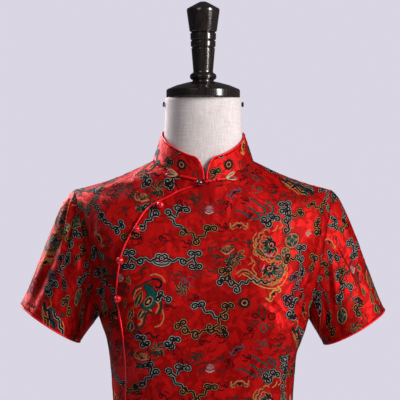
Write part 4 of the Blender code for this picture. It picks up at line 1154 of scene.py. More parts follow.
# Creases on the front and the underlap, as they hang together: at the left armhole and side, at the
# right, the darts, and soft pulls over the belly and down the skirt.
FRONT_CREASES = (
    (192, 150, 181, 100, 178, 66, 186, 30, 5, -1.8),
    (177, 66, 166, 53, 158, 39, 135, 18, 112, 4, 5, 3.6),
    (180, 50, 168, 38, 150, 18, 5, -2.6),
    (172, 30, 153, 7, 131, -6, 112, -22, 5.5, 3.2),
    (150, 26, 136, 6, 120, -6, 5, -2.0),
    (69, 21, 89, 14, 99, 6, 102, -4, 102, -26, 5, 1.9),
    (79, 23, 94, 16, 106, 5, 111, -10, 112, -34, 3.6, -1.2),
    (88, 31, 106, 22, 117, 8, 122, -8, 4, 1.3),
    (117, -26, 130, -20, 3.2, 1.4),
    (116, -34, 118, -58, 126, -92, 3.6, -2.0),
    (124, -46, 134, -76, 146, -106, 3.6, -1.8),
    (129, -22, 137, -50, 145, -72, 159, -98, 4.2, 2.4),
    (136, -34, 152, -60, 168, -84, 3.6, -1.8),
    (104, -78, 113, -122, 116, -180, 110, -260, 3.4, 2.2),
    (122, -100, 126, -150, 118, -210, 6, -1.6),
    (-201, 172, -197, 147, -191, 121, -187, 84, -186, 46, 5.5, -2.4),
    (-178, 150, -177, 112, -172, 84, -174, 50, 6, -1.8),
    (-184, 92, -183, 56, -181, 20, 4, 1.6),
    (-167, 104, -161, 72, -170, 21, 4.5, 1.8),
    (-160, 60, -157, 20, -160, -22, 4.5, -1.8),
    (-150, 40, -148, -6, -156, -52, 4.5, 1.4),
    (-141, 0, -140, -40, -139, -84, 5, -1.3),
    (-132, 118, -134, 84, 8, -1.2),
    (-197, 188, -171, 193, -146, 199, -119, 202, -91, 207, -68, 212, 7, 2.4),
    (-190, 180, -150, 188, -112, 191, 9, -1.0),
    (-112, -84, -118, -130, -112, -210, 3.4, 1.5),
    (-64, 34, -86, 28, -98, 4, -102, -30, 5, 1.3),
    (-100, 84, -92, 24, 13, -1.4),
    (60, 100, 34, 40, 15, -1.6),
    (-34, 66, 14, 58, 11, 1.0),
    (-64, -140, 48, -158, 10, -2.2),
    (-86, -172, 6, -166, 8, -1.6),
    (-24, -142, 86, -128, 8, 1.4),
    (112, -150, 62, -176, 7, -1.7),
    (-124, -150, -86, -186, 7, 1.6),
    (196, 196, 168, 200, 130, 204, 7, 1.6),
    (190, 172, 178, 140, 170, 108, 10, 1.6),
    (140, -170, 128, -260, 11, -1.6),
    (-134, -210, -126, -330, 13, -1.8),
    (-64, -330, -70, -640, 20, -2.4),
    (52, -380, 60, -760, 22, -2.4),
    (112, -430, 106, -790, 16, 2.0),
    (-120, -470, -114, -780, 15, 2.0),
)
front_edge, front_side = free_edge(PANEL_UPS), side_limit(FRONT, PANEL_UPS)
front_points, front_flat = cut_panel(
    FRONT, PANEL_UPS, front_edge, front_side, 116, FRONT_FOLDS, FRONT_CREASES
)
front = sew_piece("front", "front", front_points, front_flat, (0, 0), parts=LOW_AND_HIGH)

# ------------------------------------------------------------------------------ the underlap
# The right chest and side, a narrower piece under the front. The shoulder, armhole and side seams
# hold it, and its free edge runs under the front behind the placket cord.

CORD_R = 0.0014
LAP_WIDTH, LAP_DROP, LAP_FADE = 0.012, 0.0028, 0.020


def lap_inset(across, up):
    """How far the underlap sinks below the front, less where it comes out from under it."""
    edge = free_edge(up)
    clear = (edge - across) * per_across(FRONT, across, up) - 3 * CORD_R
    return LAP_DROP * (1 - smooth(clear / LAP_FADE))


lap_ups = PANEL_UPS[UNDERARM_Z + PANEL_UPS >= FREE_EDGE_END_Z]
lap_edge = free_edge(lap_ups)
lap_side, lap_end = -side_limit(FRONT, lap_ups), lap_edge + LAP_WIDTH / per_across(FRONT, lap_edge, lap_ups)
lap_points, lap_flat = cut_panel(
    FRONT, lap_ups, lap_side, lap_end, 30, FRONT_FOLDS, FRONT_CREASES, lap_inset
)
underlap = sew_piece("underlap", "right_underlap", lap_points, lap_flat, (0, 0))

# ------------------------------------------------------------------------------ the back
# One piece from the shoulders and the nape to the hem, sewn to the front at the shoulders and down
# the sides to the slits. Two long waist darts draw it in, and the cloth creases across the waist.

BACK_FOLDS = (
    (-0.155, 1.255, -0.138, 1.140, 0.012, -0.0030),
    (0.155, 1.255, 0.138, 1.140, 0.012, -0.0030),
    (-0.070, 1.105, -0.068, 0.870, 0.008, -0.0016),
    (0.070, 1.105, 0.068, 0.870, 0.008, -0.0016),
    (-0.055, 1.020, 0.055, 1.010, 0.012, -0.0020),
)
# Creases on the back: at both armholes and sides, the darts, and pulls over the waist and skirt.
BACK_CREASES = (
    (194, 158, 182, 104, 179, 66, 186, 28, 5, -2.0),
    (-195, 154, -183, 100, -179, 62, -186, 30, 5.5, -2.2),
    (178, 66, 160, 44, 136, 24, 5, 3.0),
    (-177, 62, -160, 40, -130, 12, 5.5, 3.4),
    (174, 40, 154, 12, 128, -8, 5, -2.0),
    (-172, 36, -152, 8, -132, -4, 5, -2.2),
    (152, 10, 138, -30, 142, -76, 4.4, 2.2),
    (-156, 2, -142, -40, -146, -88, 4.4, 2.0),
    (140, -40, 148, -92, 4, -1.8),
    (-134, -30, -140, -84, 4, -1.7),
    (70, -50, 66, -130, 69, -250, 3.4, -1.7),
    (-70, -50, -66, -128, -69, -250, 3.4, -1.7),
    (-74, -132, 52, -146, 8, -2.6),
    (-40, -166, 88, -158, 7, -2.2),
    (-64, -104, 30, -116, 7, 1.7),
    (24, -186, 112, -206, 8, 1.8),
    (-116, -150, -76, -190, 7, -1.8),
    (124, -140, 96, -176, 6, -1.7),
    (-96, 168, -40, 104, 14, -1.8),
    (92, 176, 52, 112, 13, -1.6),
    (-34, 206, 34, 200, 9, 1.2),
    (-140, -230, -128, -340, 12, -1.9),
    (62, -340, 68, -650, 22, -2.5),
    (-54, -400, -60, -770, 22, -2.4),
    (-118, -450, -112, -790, 15, 2.1),
    (122, -480, 116, -780, 15, 2.0),
)
back_side = side_limit(BACK, PANEL_UPS)
back_points, back_flat = cut_panel(
    BACK, PANEL_UPS, back_side, -back_side, 104, BACK_FOLDS, BACK_CREASES
)
sew_piece("back", "back", back_points, back_flat, (0.118, 0.064), parts=LOW_AND_HIGH)

# ------------------------------------------------------------------------------ the sleeves
# Short set-in sleeves, each one piece closed by an underarm seam and eased into its armhole. The
# sleeve heads run out from the shoulders and then fall in a few soft folds to the hem.

LEFT, RIGHT = 1, -1
# Each hem: its outer and inner points in the front view, half its depth, and its dip in the middle.
SLEEVE_HEMS = {
    LEFT: ((0.2708, 0, 1.1605), (0.1800, 0, 1.1080), 0.0570, 0.004),
    RIGHT: ((-0.2708, 0, 1.1690), (-0.1825, 0, 1.1120), 0.0570, 0.004),
}
HEAD_PULL, HEM_PULL = 0.058, 0.120
# Folds down a sleeve: angle round from the underarm and width in degrees, and depth.
SLEEVE_FOLDS = {
    LEFT: ((122, 13, -0.0040), (60, 14, -0.0028), (250, 16, -0.0035)),
    RIGHT: ((136, 11, -0.0048), (64, 14, -0.0028), (250, 16, -0.0035)),
}


def sleeve_point(hand, turn, down):
    """A place on the smooth sleeve, from the armhole at down 0 to the hem at 1."""
    turn, down = np.broadcast_arrays(np.asarray(turn, float), np.asarray(down, float))
    outer, inner, half_depth, dip = SLEEVE_HEMS[hand]
    outer, inner = np.array(outer), np.array(inner)
    half_hem = (outer - inner) / 2
    fall = np.array([half_hem[2] * hand, 0, -half_hem[0] * hand])
    fall = fall / np.linalg.norm(fall)
    cos, sin = np.cos(turn)[..., None], np.sin(turn)[..., None]
    start = armhole(turn) * (hand, 1, 1)
    end = (outer + inner) / 2 - half_hem * cos + np.array([0, -half_depth, 0]) * sin + fall * dip * sin
    top = (1 - cos) / 2
    reach = np.linalg.norm(end - start, axis=-1, keepdims=True)
    leave = np.array([hand * HEAD_PULL, 0, 0]) * top + (end - start) * (1 - 0.85 * top)
    arrive = fall * (HEM_PULL * top + reach * (1 - top))
    t = down[..., None]
    rise = t * t * (3 - 2 * t)
    return start * (1 - rise) + end * rise + leave * (t * (1 - t) ** 2) - arrive * (t * t * (1 - t))


def sleeve(hand, turn, down, inset=0.0):
    """A place on the sleeve with its folds, drawn in by inset."""
    along = sleeve_point(hand, turn + 0.03, down) - sleeve_point(hand, turn - 0.03, down)
    falling = sleeve_point(hand, turn, down + 0.02) - sleeve_point(hand, turn, down - 0.02)
    normal = unit(np.cross(along, falling)) * -hand
    depth = 0
    for middle, width, deep in SLEEVE_FOLDS[hand]:
        off = (np.degrees(turn) % 360 - middle) / width
        depth = depth + deep * np.exp(-off * off) * np.sin(math.pi * np.minimum(down * 0.8, 1)) ** 2
    return sleeve_point(hand, turn, down) + normal * (depth - inset)[..., None]


# Creases on each sleeve, from its top line towards the front or, with s past the top, the back.
SLEEVE_CREASES = {
    RIGHT: (
        (16, 186, 28, 170, 39, 155, 52, 134, 61, 109, 66, 88, 3.4, 4.0),
        (12, 184, 20, 170, 30, 152, 42, 126, 52, 98, 4.0, -3.4),
        (34, 178, 50, 156, 64, 132, 74, 104, 4.5, -2.8),
        (4, 176, 10, 150, 18, 110, 5, 1.8),
        (84, 152, 104, 124, 128, 84, 5, -2.4),
        (92, 140, 112, 108, 122, 60, 6, 2.4),
        (100, 112, 122, 46, 10, 1.8),
        (80, 104, 90, 30, 8, -2.0),
        (62, 78, 68, 14, 9, -1.8),
        (34, 118, 22, 24, 11, 1.9),
        (190, 16, 150, 14, 128, 6, 5, -2.2),
        (176, 26, 140, 26, 118, 18, 4.5, 1.8),
        (-44, 168, -76, 116, -84, 56, 7, -2.8),
        (-104, 104, -126, 34, 8, 2.3),
        (-150, 72, -158, 18, 7, -2.0),
    ),
    LEFT: (
        (-62, 158, -80, 132, -99, 101, -100, 49, 6, -2.0),
        (-98, 132, -80, 108, -62, 59, -58, 26, 6, 2.6),
        (-84, 128, -58, 82, -48, 44, 5, -2.2),
        (-36, 150, -41, 112, -42, 66, 6, 2.0),
        (-28, 120, -24, 74, 4.5, 1.7),
        (-22, 138, -12, 60, 6, -2.0),
        (-124, 108, -137, 44, 7, -2.4),
        (-114, 96, -118, 36, 4.5, 2.0),
        (-112, 51, -113, 10, 6, -1.8),
        (-206, 18, -180, 18, -154, 7, 5, 2.0),
        (-196, 34, -160, 30, -136, 16, 5, -1.8),
        (-66, 44, -60, 6, 8, -1.8),
        (40, 170, 70, 118, 80, 54, 7, -2.7),
        (100, 108, 124, 36, 8, 2.4),
        (148, 70, 156, 18, 7, -2.0),
    ),
}
SLEEVE_COLUMNS = 144
SLEEVE_REPEAT_AT = {LEFT: (0.070, 0.020), RIGHT: (-0.064, 0.038)}


def cut_sleeve(hand):
    """Points and flat places from the underarm seam, over the head, and back to the seam."""
    turns = np.linspace(0, 2 * math.pi, SLEEVE_COLUMNS + 1)[::hand]
    span = np.linalg.norm(sleeve_point(hand, turns, 0.02) - sleeve_point(hand, turns, 0), axis=-1)
    first = 0.02 * GAP / span
    share = np.linspace(1, 0, 49)[:, None]
    down = first[None, :] * (1 - share) + share
    turn = np.broadcast_to(turns[None, :], down.shape)
    smooth_points = sleeve_point(hand, turn, down)
    round_it = np.linalg.norm(np.diff(smooth_points, axis=1), axis=-1)
    s = np.hstack([np.zeros((down.shape[0], 1)), np.cumsum(round_it, axis=1)])
    s -= s[:, SLEEVE_COLUMNS // 2, None]
    flat = np.stack([s, flat_heights(smooth_points, s)], -1)
    points = creased(sleeve(hand, turn, down), flat, SLEEVE_CREASES[hand])
    points[:, -1] = points[:, 0]
    return points, flat


for hand, label in ((LEFT, "left"), (RIGHT, "right")):
    sleeve_name = f"sleeve_{label}"
    sew_piece(sleeve_name, sleeve_name, *cut_sleeve(hand), SLEEVE_REPEAT_AT[hand], closed=True)

# ------------------------------------------------------------------------------ the collar
# A stand collar of the same satin over stiff interfacing, in one strip that meets edge to edge at
# the throat with rounded corners. It is sewn into the neckline and leans in a little.

COLLAR_THICK = 0.0018
# Its height at each angle round from the throat.
COLLAR_STANDS = np.array([
    (0, 0.0325), (50, 0.0320), (72, 0.0345), (90, 0.0388), (120, 0.0420), (180, 0.0430),
])
COLLAR_SLOPE, COLLAR_CORNER, COLLAR_BLUNT, COLLAR_SPLIT = 0.33, 0.0180, 0.0004, 0.0036


def collar_base(turn):
    """The neckline at turn, which is 0 at the throat and pi at the nape."""
    wrapped = (turn + math.pi) % (2 * math.pi) - math.pi
    front_part = neckline(FRONT, wrapped / QUARTER)
    back_part = neckline(BACK, np.copysign(2 - np.abs(wrapped) / QUARTER, wrapped))
    return np.where((np.abs(wrapped) <= QUARTER)[..., None], front_part, back_part)


def collar_point(turn, height, inset=0.0):
    """A place on the collar's outer face at a height above the neckline, or further in by inset."""
    base = collar_base(turn)
    inwards = unit(-base * (1, 1, 0))
    lean = (COLLAR_SLOPE * height + inset)[..., None]
    return base + inwards * lean + np.stack([0 * turn, 0 * turn, GAP + height], -1)


def collar_height(turn):
    """How high the collar stands, less at its rounded ends."""
    around = np.minimum(turn, 2 * math.pi - turn)
    from_end = around * NECK_HALF - COLLAR_SPLIT + COLLAR_BLUNT
    corner = np.sqrt(1 - (1 - np.clip(from_end / COLLAR_CORNER, 0, 1)) ** 2)
    return through(COLLAR_STANDS, 1, np.degrees(around)) * corner


COLLAR_COLUMNS = 144
collar_ease = np.linspace(-1, 1, COLLAR_COLUMNS + 1)  # with its columns closer together at the throat
collar_ease = np.sign(collar_ease) * (1 - (1 - np.abs(collar_ease)) ** 1.35)
collar_turns = math.pi + (math.pi - COLLAR_SPLIT / NECK_HALF) * collar_ease
collar_turn = np.broadcast_to(collar_turns[None, :], (13, COLLAR_COLUMNS + 1))
collar_up = collar_height(collar_turn) * np.linspace(0, 1, 13)[:, None]
collar_points = collar_point(collar_turn, collar_up)
collar_s = run_lengths(collar_points[0])
collar_s = np.broadcast_to((collar_s - collar_s[COLLAR_COLUMNS // 2])[None, :], collar_turn.shape)
collar_flat = np.stack([collar_s, collar_up * math.hypot(1, COLLAR_SLOPE)], -1)
collar = sew_piece(
    "collar", "collar", collar_points, collar_flat, (0.134, -0.007), "stretched", thick=COLLAR_THICK
)

# ------------------------------------------------------------------------------ the satin cords
# Cotton cord covered in a bias strip of bright red satin and sewn into the edges: one round the
# collar, one down the front's free edge from the throat past the waist, and one at each sleeve hem.

STITCH = 0.006

PIPED = new_finish("red_piping", (0.86, 0.006, 0.016), 0.34, Metallic=0.25, Specular_IOR_Level=0.25)
bias = place_on_cloth(PIPED)
# Small tucks pucker the bias strip, and its colour follows them: painted shade, darker in the tucks' hollows
tucks_and_shade = noise(PIPED, bias, 240.0, Detail=2.0)
twill = ribs(PIPED, laid(PIPED, bias, math.radians(45)), 620.0, 0.5)
feed(PIPED, "Normal", relief(PIPED, twill, 0.00005, relief(PIPED, tucks_and_shade, 0.0004)))
# Painted shade: the red is darker where the tucks lie low
feed(PIPED, "Base Color", two_tones(PIPED, tucks_and_shade, (0.68, 0.004, 0.010), (0.92, 0.008, 0.022)))


def cover_cord(name, node, path, radius, closed=False, sides=12, finish=PIPED):
    """A skin round a path of points, drawn in at its ends and pulled a little at each stitch."""
    along, run = run_lengths(path), unit(np.gradient(path, axis=0))
    if closed:
        run[0] = run[-1] = unit(path[1] - path[-2])
    side = unit(np.cross(run, unit(path - path.mean(axis=0)) + (0, 0, 0.001)))
    up = np.cross(side, run)
    turn = np.linspace(0, 2 * math.pi, sides + 1)
    size = radius * (1 - 0.05 * np.cos(along * 2 * math.pi / STITCH) ** 8)
    if not closed:
        from_end = np.minimum(along, along[-1] - along) / radius
        size = size * np.sqrt(1 - (1 - np.clip(from_end, 0, 1)) ** 2).clip(0.02)
    circle = np.cos(turn)[None, :, None] * side[:, None, :] + np.sin(turn)[None, :, None] * up[:, None, :]
    points = path[:, None, :] + circle * size[:, None, None]
    points[:, -1] = points[:, 0]
    if closed:
        points[-1] = points[0]
    flat = np.stack(np.broadcast_arrays(turn[None, :] * radius, along[:, None]), -1)
    return fit(weave(name, points, flat, closed=True), node, finish)


def evenly(path, step=0.0012):
    """The path again with its points a step apart."""
    along = run_lengths(path)
    places = np.linspace(0, along[-1], max(8, round(along[-1] / step)))
    return np.stack([np.interp(places, along, path[:, i]) for i in range(3)], -1)


# The collar's cord stands on its top edge and goes down its two rounded ends
rim = collar_point(collar_turns, collar_height(collar_turns), COLLAR_THICK / 2)
foot = collar_point(collar_turns[[0, -1]], np.full(2, 2 * GAP), COLLAR_THICK / 2)
rim = evenly(np.vstack([foot[:1], rim, foot[1:]]), 0.0010)
upwards = unit(np.cross(unit(rim * (1, 1, 0)), unit(np.gradient(rim, axis=0))))
collar_cord = cover_cord("collar_cord", "collar_piping", rim + upwards * (CORD_R - 1.2 * GAP), CORD_R)

# The front's cord lies against its free edge
CORD_TOP_Z, CORD_END_Z = 1.3475, 0.700
edge_line = front_points[UNDERARM_Z + PANEL_UPS >= FREE_EDGE_END_Z, 0]
edge_out = unit(np.cross(np.gradient(edge_line, axis=0), body_normal(FRONT, lap_edge, lap_ups)))
kept = (edge_line[:, 2] > CORD_END_Z) & (edge_line[:, 2] < CORD_TOP_Z)
placket_path = evenly((edge_line - edge_out * (CORD_R + GAP))[kept])
placket_cord = cover_cord("placket_cord", "placket_piping", placket_path, CORD_R)

# A ring of cord closes each sleeve hem
for hand, label in ((LEFT, "left"), (RIGHT, "right")):
    turns = np.linspace(0, 2 * math.pi, 181)
    hem, above = (sleeve(hand, turns, np.full(181, down), CLOTH_THICK / 2) for down in (1.0, 0.97))
    hem = hem + unit(hem - above) * (CORD_R - 2 * GAP)
    cover_cord(f"cuff_cord_{label}", f"cuff_piping_{label}", hem, CORD_R, closed=True)

# ------------------------------------------------------------------------------ the ball buttons
# Four round glossy red beads on short shanks along the cord, each caught by a loop under the edge.
# They are polished resin, a little cloudy inside.

BEAD = new_finish(
    "red_bead", (0.62, 0.004, 0.010), 0.10, Coat_Weight=0.2, Coat_Roughness=0.03, Specular_IOR_Level=0.4
)
moulded = place_in_room(BEAD)
swirl = noise(BEAD, moulded, 160.0, Distortion=1.0)
feed(BEAD, "Base Color", two_tones(BEAD, swirl, (0.48, 0.003, 0.007), (0.70, 0.007, 0.014)))
feed(BEAD, "Roughness", between_levels(BEAD, noise(BEAD, moulded, 900.0), 0.06, 0.16))


def bead(name, node, finish):
    """A ball in the place of its node."""
    low, high = (Vector(corner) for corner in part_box(node))
    bm = bmesh.new()
    bmesh.ops.create_uvsphere(bm, u_segments=40, v_segments=24, radius=(high - low).x / 2)
    bmesh.ops.rotate(bm, verts=bm.verts, cent=(0, 0, 0), matrix=Matrix.Rotation(QUARTER, 3, "X"))
    bmesh.ops.translate(bm, verts=bm.verts, vec=(low + high) / 2)
    fit(make_piece(name, bm), node, finish)


for number in range(1, 5):
    bead(f"bead_{number}", f"button_{number}", BEAD)

# ------------------------------------------------------------------------------ the frog
# A frog closing at the throat: on each side a doubled cord of red satin that opens into two petal
# loops, edged with red and gold-green cord and filled with the lining. A dark garnet bead is the knot.

GARNET = new_finish("dark_bead", (0.050, 0.004, 0.006), 0.06, Coat_Weight=0.8, Coat_Roughness=0.03)
veins = noise(GARNET, place_in_room(GARNET), 300.0, Distortion=1.5)
feed(GARNET, "Base Color", two_tones(GARNET, veins, (0.020, 0.002, 0.003), (0.110, 0.006, 0.010)))
bead("frog_bead", "frog_knot", GARNET)

GILT_CORD = new_finish("gold_green_cord", (0.46, 0.42, 0.18), 0.42, Sheen_Weight=0.1)
strands = ribs(GILT_CORD, laid(GILT_CORD, place_on_cloth(GILT_CORD), math.radians(35)), 420.0)
feed(GILT_CORD, "Base Color", two_tones(GILT_CORD, strands, (0.22, 0.22, 0.08), (0.58, 0.53, 0.27)))
feed(GILT_CORD, "Normal", relief(GILT_CORD, strands, 0.00012))

FROG_CORD_R, GILT_R, BINDING_R = 0.00185, 0.00080, 0.00062
PETAL_HALF, GILT_HALF, GILT_SHARE = 0.0031, 0.0017, 0.86  # half widths, and the gilt line's share of length
FILL_THICK, FILL_SWELL = 0.0006, 0.0005
# Each half: where its cord leaves the knot, where it forks, and the tips of its two petals.
FROG = {
    "right": ((-0.0128, 1.3520), (-0.0385, 1.3576), ((-0.0548, 1.3680), (-0.0574, 1.3588))),
    "left": ((-0.0020, 1.3487), (0.0283, 1.3532), ((0.0447, 1.3640), (0.0477, 1.3535))),
}

# What the frog lies on, as it is with its thickness
UNDER_FROG = front, underlap, collar, collar_cord, placket_cord
bpy.context.view_layer.update()
as_made = bpy.context.evaluated_depsgraph_get()
CLOTH_UNDER = [BVHTree.FromObject(made, as_made) for made in UNDER_FROG]


def on_cloth(x, z):
    """How far back the cloth lies behind (x, z)."""
    hits = [tree.ray_cast(Vector((x, -0.4, z)), Vector((0, 1, 0)))[0] for tree in CLOTH_UNDER]
    return min([hit.y for hit in hits if hit is not None and hit.y < 0], default=0.0)


def seated(line, lift):
    """A line of (x, z) places, eased over the cloth and lifted off it."""
    back_y = np.array([on_cloth(x, z) for x, z in line])
    for _ in range(6):
        eased = np.convolve(np.pad(back_y, 1, mode="edge"), (0.25, 0.5, 0.25), mode="valid")
        back_y = np.minimum(back_y, eased)
    return np.stack([line[:, 0], back_y - lift, line[:, 1]], -1)


def petal_line(fork, tip, half_width):
    """The outline of a petal, a drop that is round at its tip and closes at the fork."""
    run = tip - fork
    across = np.array([-run[1], run[0]]) / np.linalg.norm(run)
    turn = np.linspace(0, 2 * math.pi, 44)
    out = (1 - np.cos(turn)) / 2
    width = np.sin(turn) * half_width * out**0.85 * 1.35
    return fork + run * out[:, None] + across * width[:, None]


for label, (start, fork, tips) in FROG.items():
    start, fork = np.array(start), np.array(fork)
    line = start + np.linspace(0, 1.12, 30)[:, None] * (fork - start)
    cover_cord(f"frog_{label}_stem", f"frog_{label}_cord", seated(line, FROG_CORD_R), FROG_CORD_R, sides=14)
    for tip, level in zip(np.array(tips), ("upper", "lower")):
        petal = f"frog_{label}_{level}"
        outline = petal_line(fork, tip, PETAL_HALF)
        binding = seated(outline, BINDING_R + 0.0007)
        inner = petal_line(fork, fork + GILT_SHARE * (tip - fork), GILT_HALF)
        gilt = seated(inner, GILT_R + 0.0011)
        cover_cord(petal + "_edge", None, binding, BINDING_R, sides=10)
        cover_cord(petal + "_gilt", None, gilt, GILT_R, sides=10, finish=GILT_CORD)
        # The filling swells a little between the two edges
        shares = np.linspace(-1, 1, 9)
        half = len(outline) // 2
        left_edge, right_edge = outline[1:half, None, :], outline[::-1][1:half, None, :]
        places = left_edge + (right_edge - left_edge) * (shares[None, :, None] + 1) / 2
        seat = seated(places.reshape(-1, 2), 0.0)[:, 1].reshape(places.shape[:2]).min(axis=1)
        swell = FILL_THICK + FILL_SWELL * np.sqrt(1 - shares**2)
        filling = np.stack([places[..., 0], seat[:, None] - swell[None, :], places[..., 1]], -1)
        fill = weave(petal + "_fill", filling, places - fork)
        back_with(fill, FILL_THICK)
        fit(fill, f"frog_{label}_petal_{level}", LINING, LINING)

# ------------------------------------------------------------------------------ the dress form
# A limbless torso and neck of moulded pulp, padded and covered in cream linen. It stands clear of
# the dress except at the shoulders, which bear it.

FORM_BOTTOM_Z, NECK_TOP_Z, FORM_BACK = 0.800, 1.4739, -0.0045
# How far the form stands in from the dress at each height.
FORM_GAPS = np.array([
    (0.800, 0.010), (0.900, 0.011), (0.985, 0.010), (1.060, 0.007), (1.115, 0.005), (1.150, 0.005),
])
CLOTH_WALL, CHEST_CLEARANCE, SHOULDER_CLEARANCE, FORM_SIDE = 0.0015, 0.005, 0.0007, 0.97


def form_row(up):
    """A ring of the form round the dress's section at up, inset from it."""
    rows = []
    for side in (FRONT, BACK):
        across = np.linspace(-FORM_SIDE, FORM_SIDE, 49) * side
        ups = np.full(49, float(up))
        ridge = smooth((np.abs(across) - 0.55) / 0.40) * smooth((up - 1) / 0.25)
        inset = CLOTH_WALL + CHEST_CLEARANCE + (SHOULDER_CLEARANCE - CHEST_CLEARANCE) * ridge
        if up <= 0:
            inset = np.full(49, CLOTH_WALL + through(FORM_GAPS, 1, UNDERARM_Z + np.array(float(up))))
        rows.append(smooth_body(side, across, ups) - body_normal(side, across, ups) * inset[:, None])
    ring = np.vstack(rows)
    return np.vstack([ring, ring[:1]])


def neck_row(half_width, half_depth, y, z, follow):
    """A ring of the neck at height z, which dips as far as the neckline does where follow is 1."""
    rows = []
    for side in (FRONT, BACK):
        across = np.linspace(-FORM_SIDE, FORM_SIDE, 49) * side
        dip = (neckline(side, across)[:, 2] - NECK_SIDE_Z) * follow
        turn = across * QUARTER
        rows.append(np.stack([half_width * np.sin(turn), y - side * half_depth * np.cos(turn), z + dip], -1))
    ring = np.vstack(rows)
    return np.vstack([ring, ring[:1]])


form_rows = [form_row(up) for up in np.linspace(FORM_BOTTOM_Z - UNDERARM_Z, 0, 41)]
form_rows[0][:, 2] = FORM_BOTTOM_Z
form_rows += [form_row(up) for up in np.linspace(0, 1.8, 37)[1:]]
neck_rows = [
    neck_row(0.0660, 0.0550, -0.0050, NECK_SIDE_Z + 0.0010, 1.0),
    neck_row(0.0605, 0.0490, FORM_BACK, 1.3990, 0.8),
    neck_row(0.0580, 0.0470, FORM_BACK, 1.4200, 0.3),
    neck_row(0.0566, 0.0470, FORM_BACK, 1.4480, 0.05),
    neck_row(0.0562, 0.0470, FORM_BACK, NECK_TOP_Z - 0.0016, 0.0),
]
# The neck's rows are eased through the few that shape it
for place in np.linspace(0, 4, 33):
    i = min(int(place), 3)
    form_rows.append(neck_rows[i] * (1 - (place - i)) + neck_rows[i + 1] * (place - i))
form_rows.append(neck_row(0.0548, 0.0457, FORM_BACK, NECK_TOP_Z, 0.0))
form_points = np.array(form_rows)
for _ in range(3):
    form_points[40:-2] = (form_points[39:-3] + 2 * form_points[40:-2] + form_points[41:-1]) / 4
around, form_heights = run_lengths(form_points[40]), run_lengths(form_points[:, 24])
form_flat = np.stack(np.broadcast_arrays(around[None, :], form_heights[:, None]), -1)
form_skin = weave("form_linen", form_points, form_flat, closed=True)
bm = bmesh.new()
bm.from_mesh(form_skin.data)
bmesh.ops.contextual_create(bm, geom=[e for e in bm.edges if e.is_boundary and e.verts[0].co.z < 1])
bmesh.ops.contextual_create(bm, geom=[e for e in bm.edges if e.is_boundary and e.verts[0].co.z > 1])
bm.to_mesh(form_skin.data)
bm.free()
form_skin.data.set_sharp_from_angle(angle=math.radians(55))

LINEN = new_finish("cream_linen", (0.62, 0.56, 0.555), 0.88, Sheen_Weight=0.15, Sheen_Roughness=0.6)
thread = place_in_room(LINEN)
warp = noise(LINEN, laid(LINEN, thread, 0.0, (900.0, 900.0, 70.0)), 1.0, Detail=2.0)
weft = noise(LINEN, laid(LINEN, thread, 0.0, (60.0, 60.0, 1300.0)), 1.0, Detail=2.0)
crossed = add_node(LINEN, "Math", (0, warp), (1, weft), operation="ADD").outputs["Value"]
halved = add_node(LINEN, "Math", (0, crossed), (1, 0.5), operation="MULTIPLY").outputs["Value"]
warm = two_tones(LINEN, halved, (0.54, 0.49, 0.485), (0.70, 0.64, 0.635), 0.38, 0.60)
aged = two_tones(LINEN, noise(LINEN, thread, 14.0, Detail=3.0), (0.90, 0.88, 0.87), (1, 1, 1))
feed(LINEN, "Base Color", multiplied(LINEN, warm, aged))
feed(LINEN, "Normal", relief(LINEN, halved, 0.0004))
fit(form_skin, "form_torso", LINEN)

# ------------------------------------------------------------------------------ cap and finial
# One turning in beech, stained black and lacquered: a flat cap over the neck with a low cone, a
# bead, a tapering handle with three cut rings, and a rounded top to lift the form by.

LACQUER = new_finish("black_lacquer", (0.010, 0.008, 0.008), 0.16, Coat_Weight=0.5, Coat_Roughness=0.08)
turning = place_in_room(LACQUER)
tool_marks = noise(LACQUER, laid(LACQUER, turning, 0.0, (30.0, 30.0, 2600.0)), 1.0, Detail=2.0)
pores = noise(LACQUER, laid(LACQUER, turning, 0.0, (500.0, 500.0, 25.0)), 1.0, Detail=4.0)
feed(LACQUER, "Base Color", two_tones(LACQUER, pores, (0.006, 0.005, 0.005), (0.026, 0.017, 0.014)))
feed(LACQUER, "Roughness", between_levels(LACQUER, pores, 0.10, 0.30))
feed(LACQUER, "Normal", relief(LACQUER, tool_marks, 0.00006))

# Radius and height of each turn of the tool, from the cap's foot to the top.
CAP_TURNS = (
    (0.0540, 1.4742), (0.0548, 1.4752), (0.0548, 1.4852), (0.0532, 1.4870), (0.0400, 1.4925),
    (0.0240, 1.4968), (0.0160, 1.4985), (0.0158, 1.5005), (0.0188, 1.5020), (0.0201, 1.5056),
    (0.0188, 1.5092), (0.0150, 1.5115), (0.0148, 1.5140), (0.0176, 1.5475), (0.0160, 1.5492),
    (0.0184, 1.5505), (0.0186, 1.5580), (0.0166, 1.5595), (0.0190, 1.5610), (0.0192, 1.5698),
    (0.0172, 1.5714), (0.0203, 1.5733), (0.0245, 1.6035), (0.0240, 1.6068), (0.0080, 1.6155),
    (0.0040, 1.6172),
)


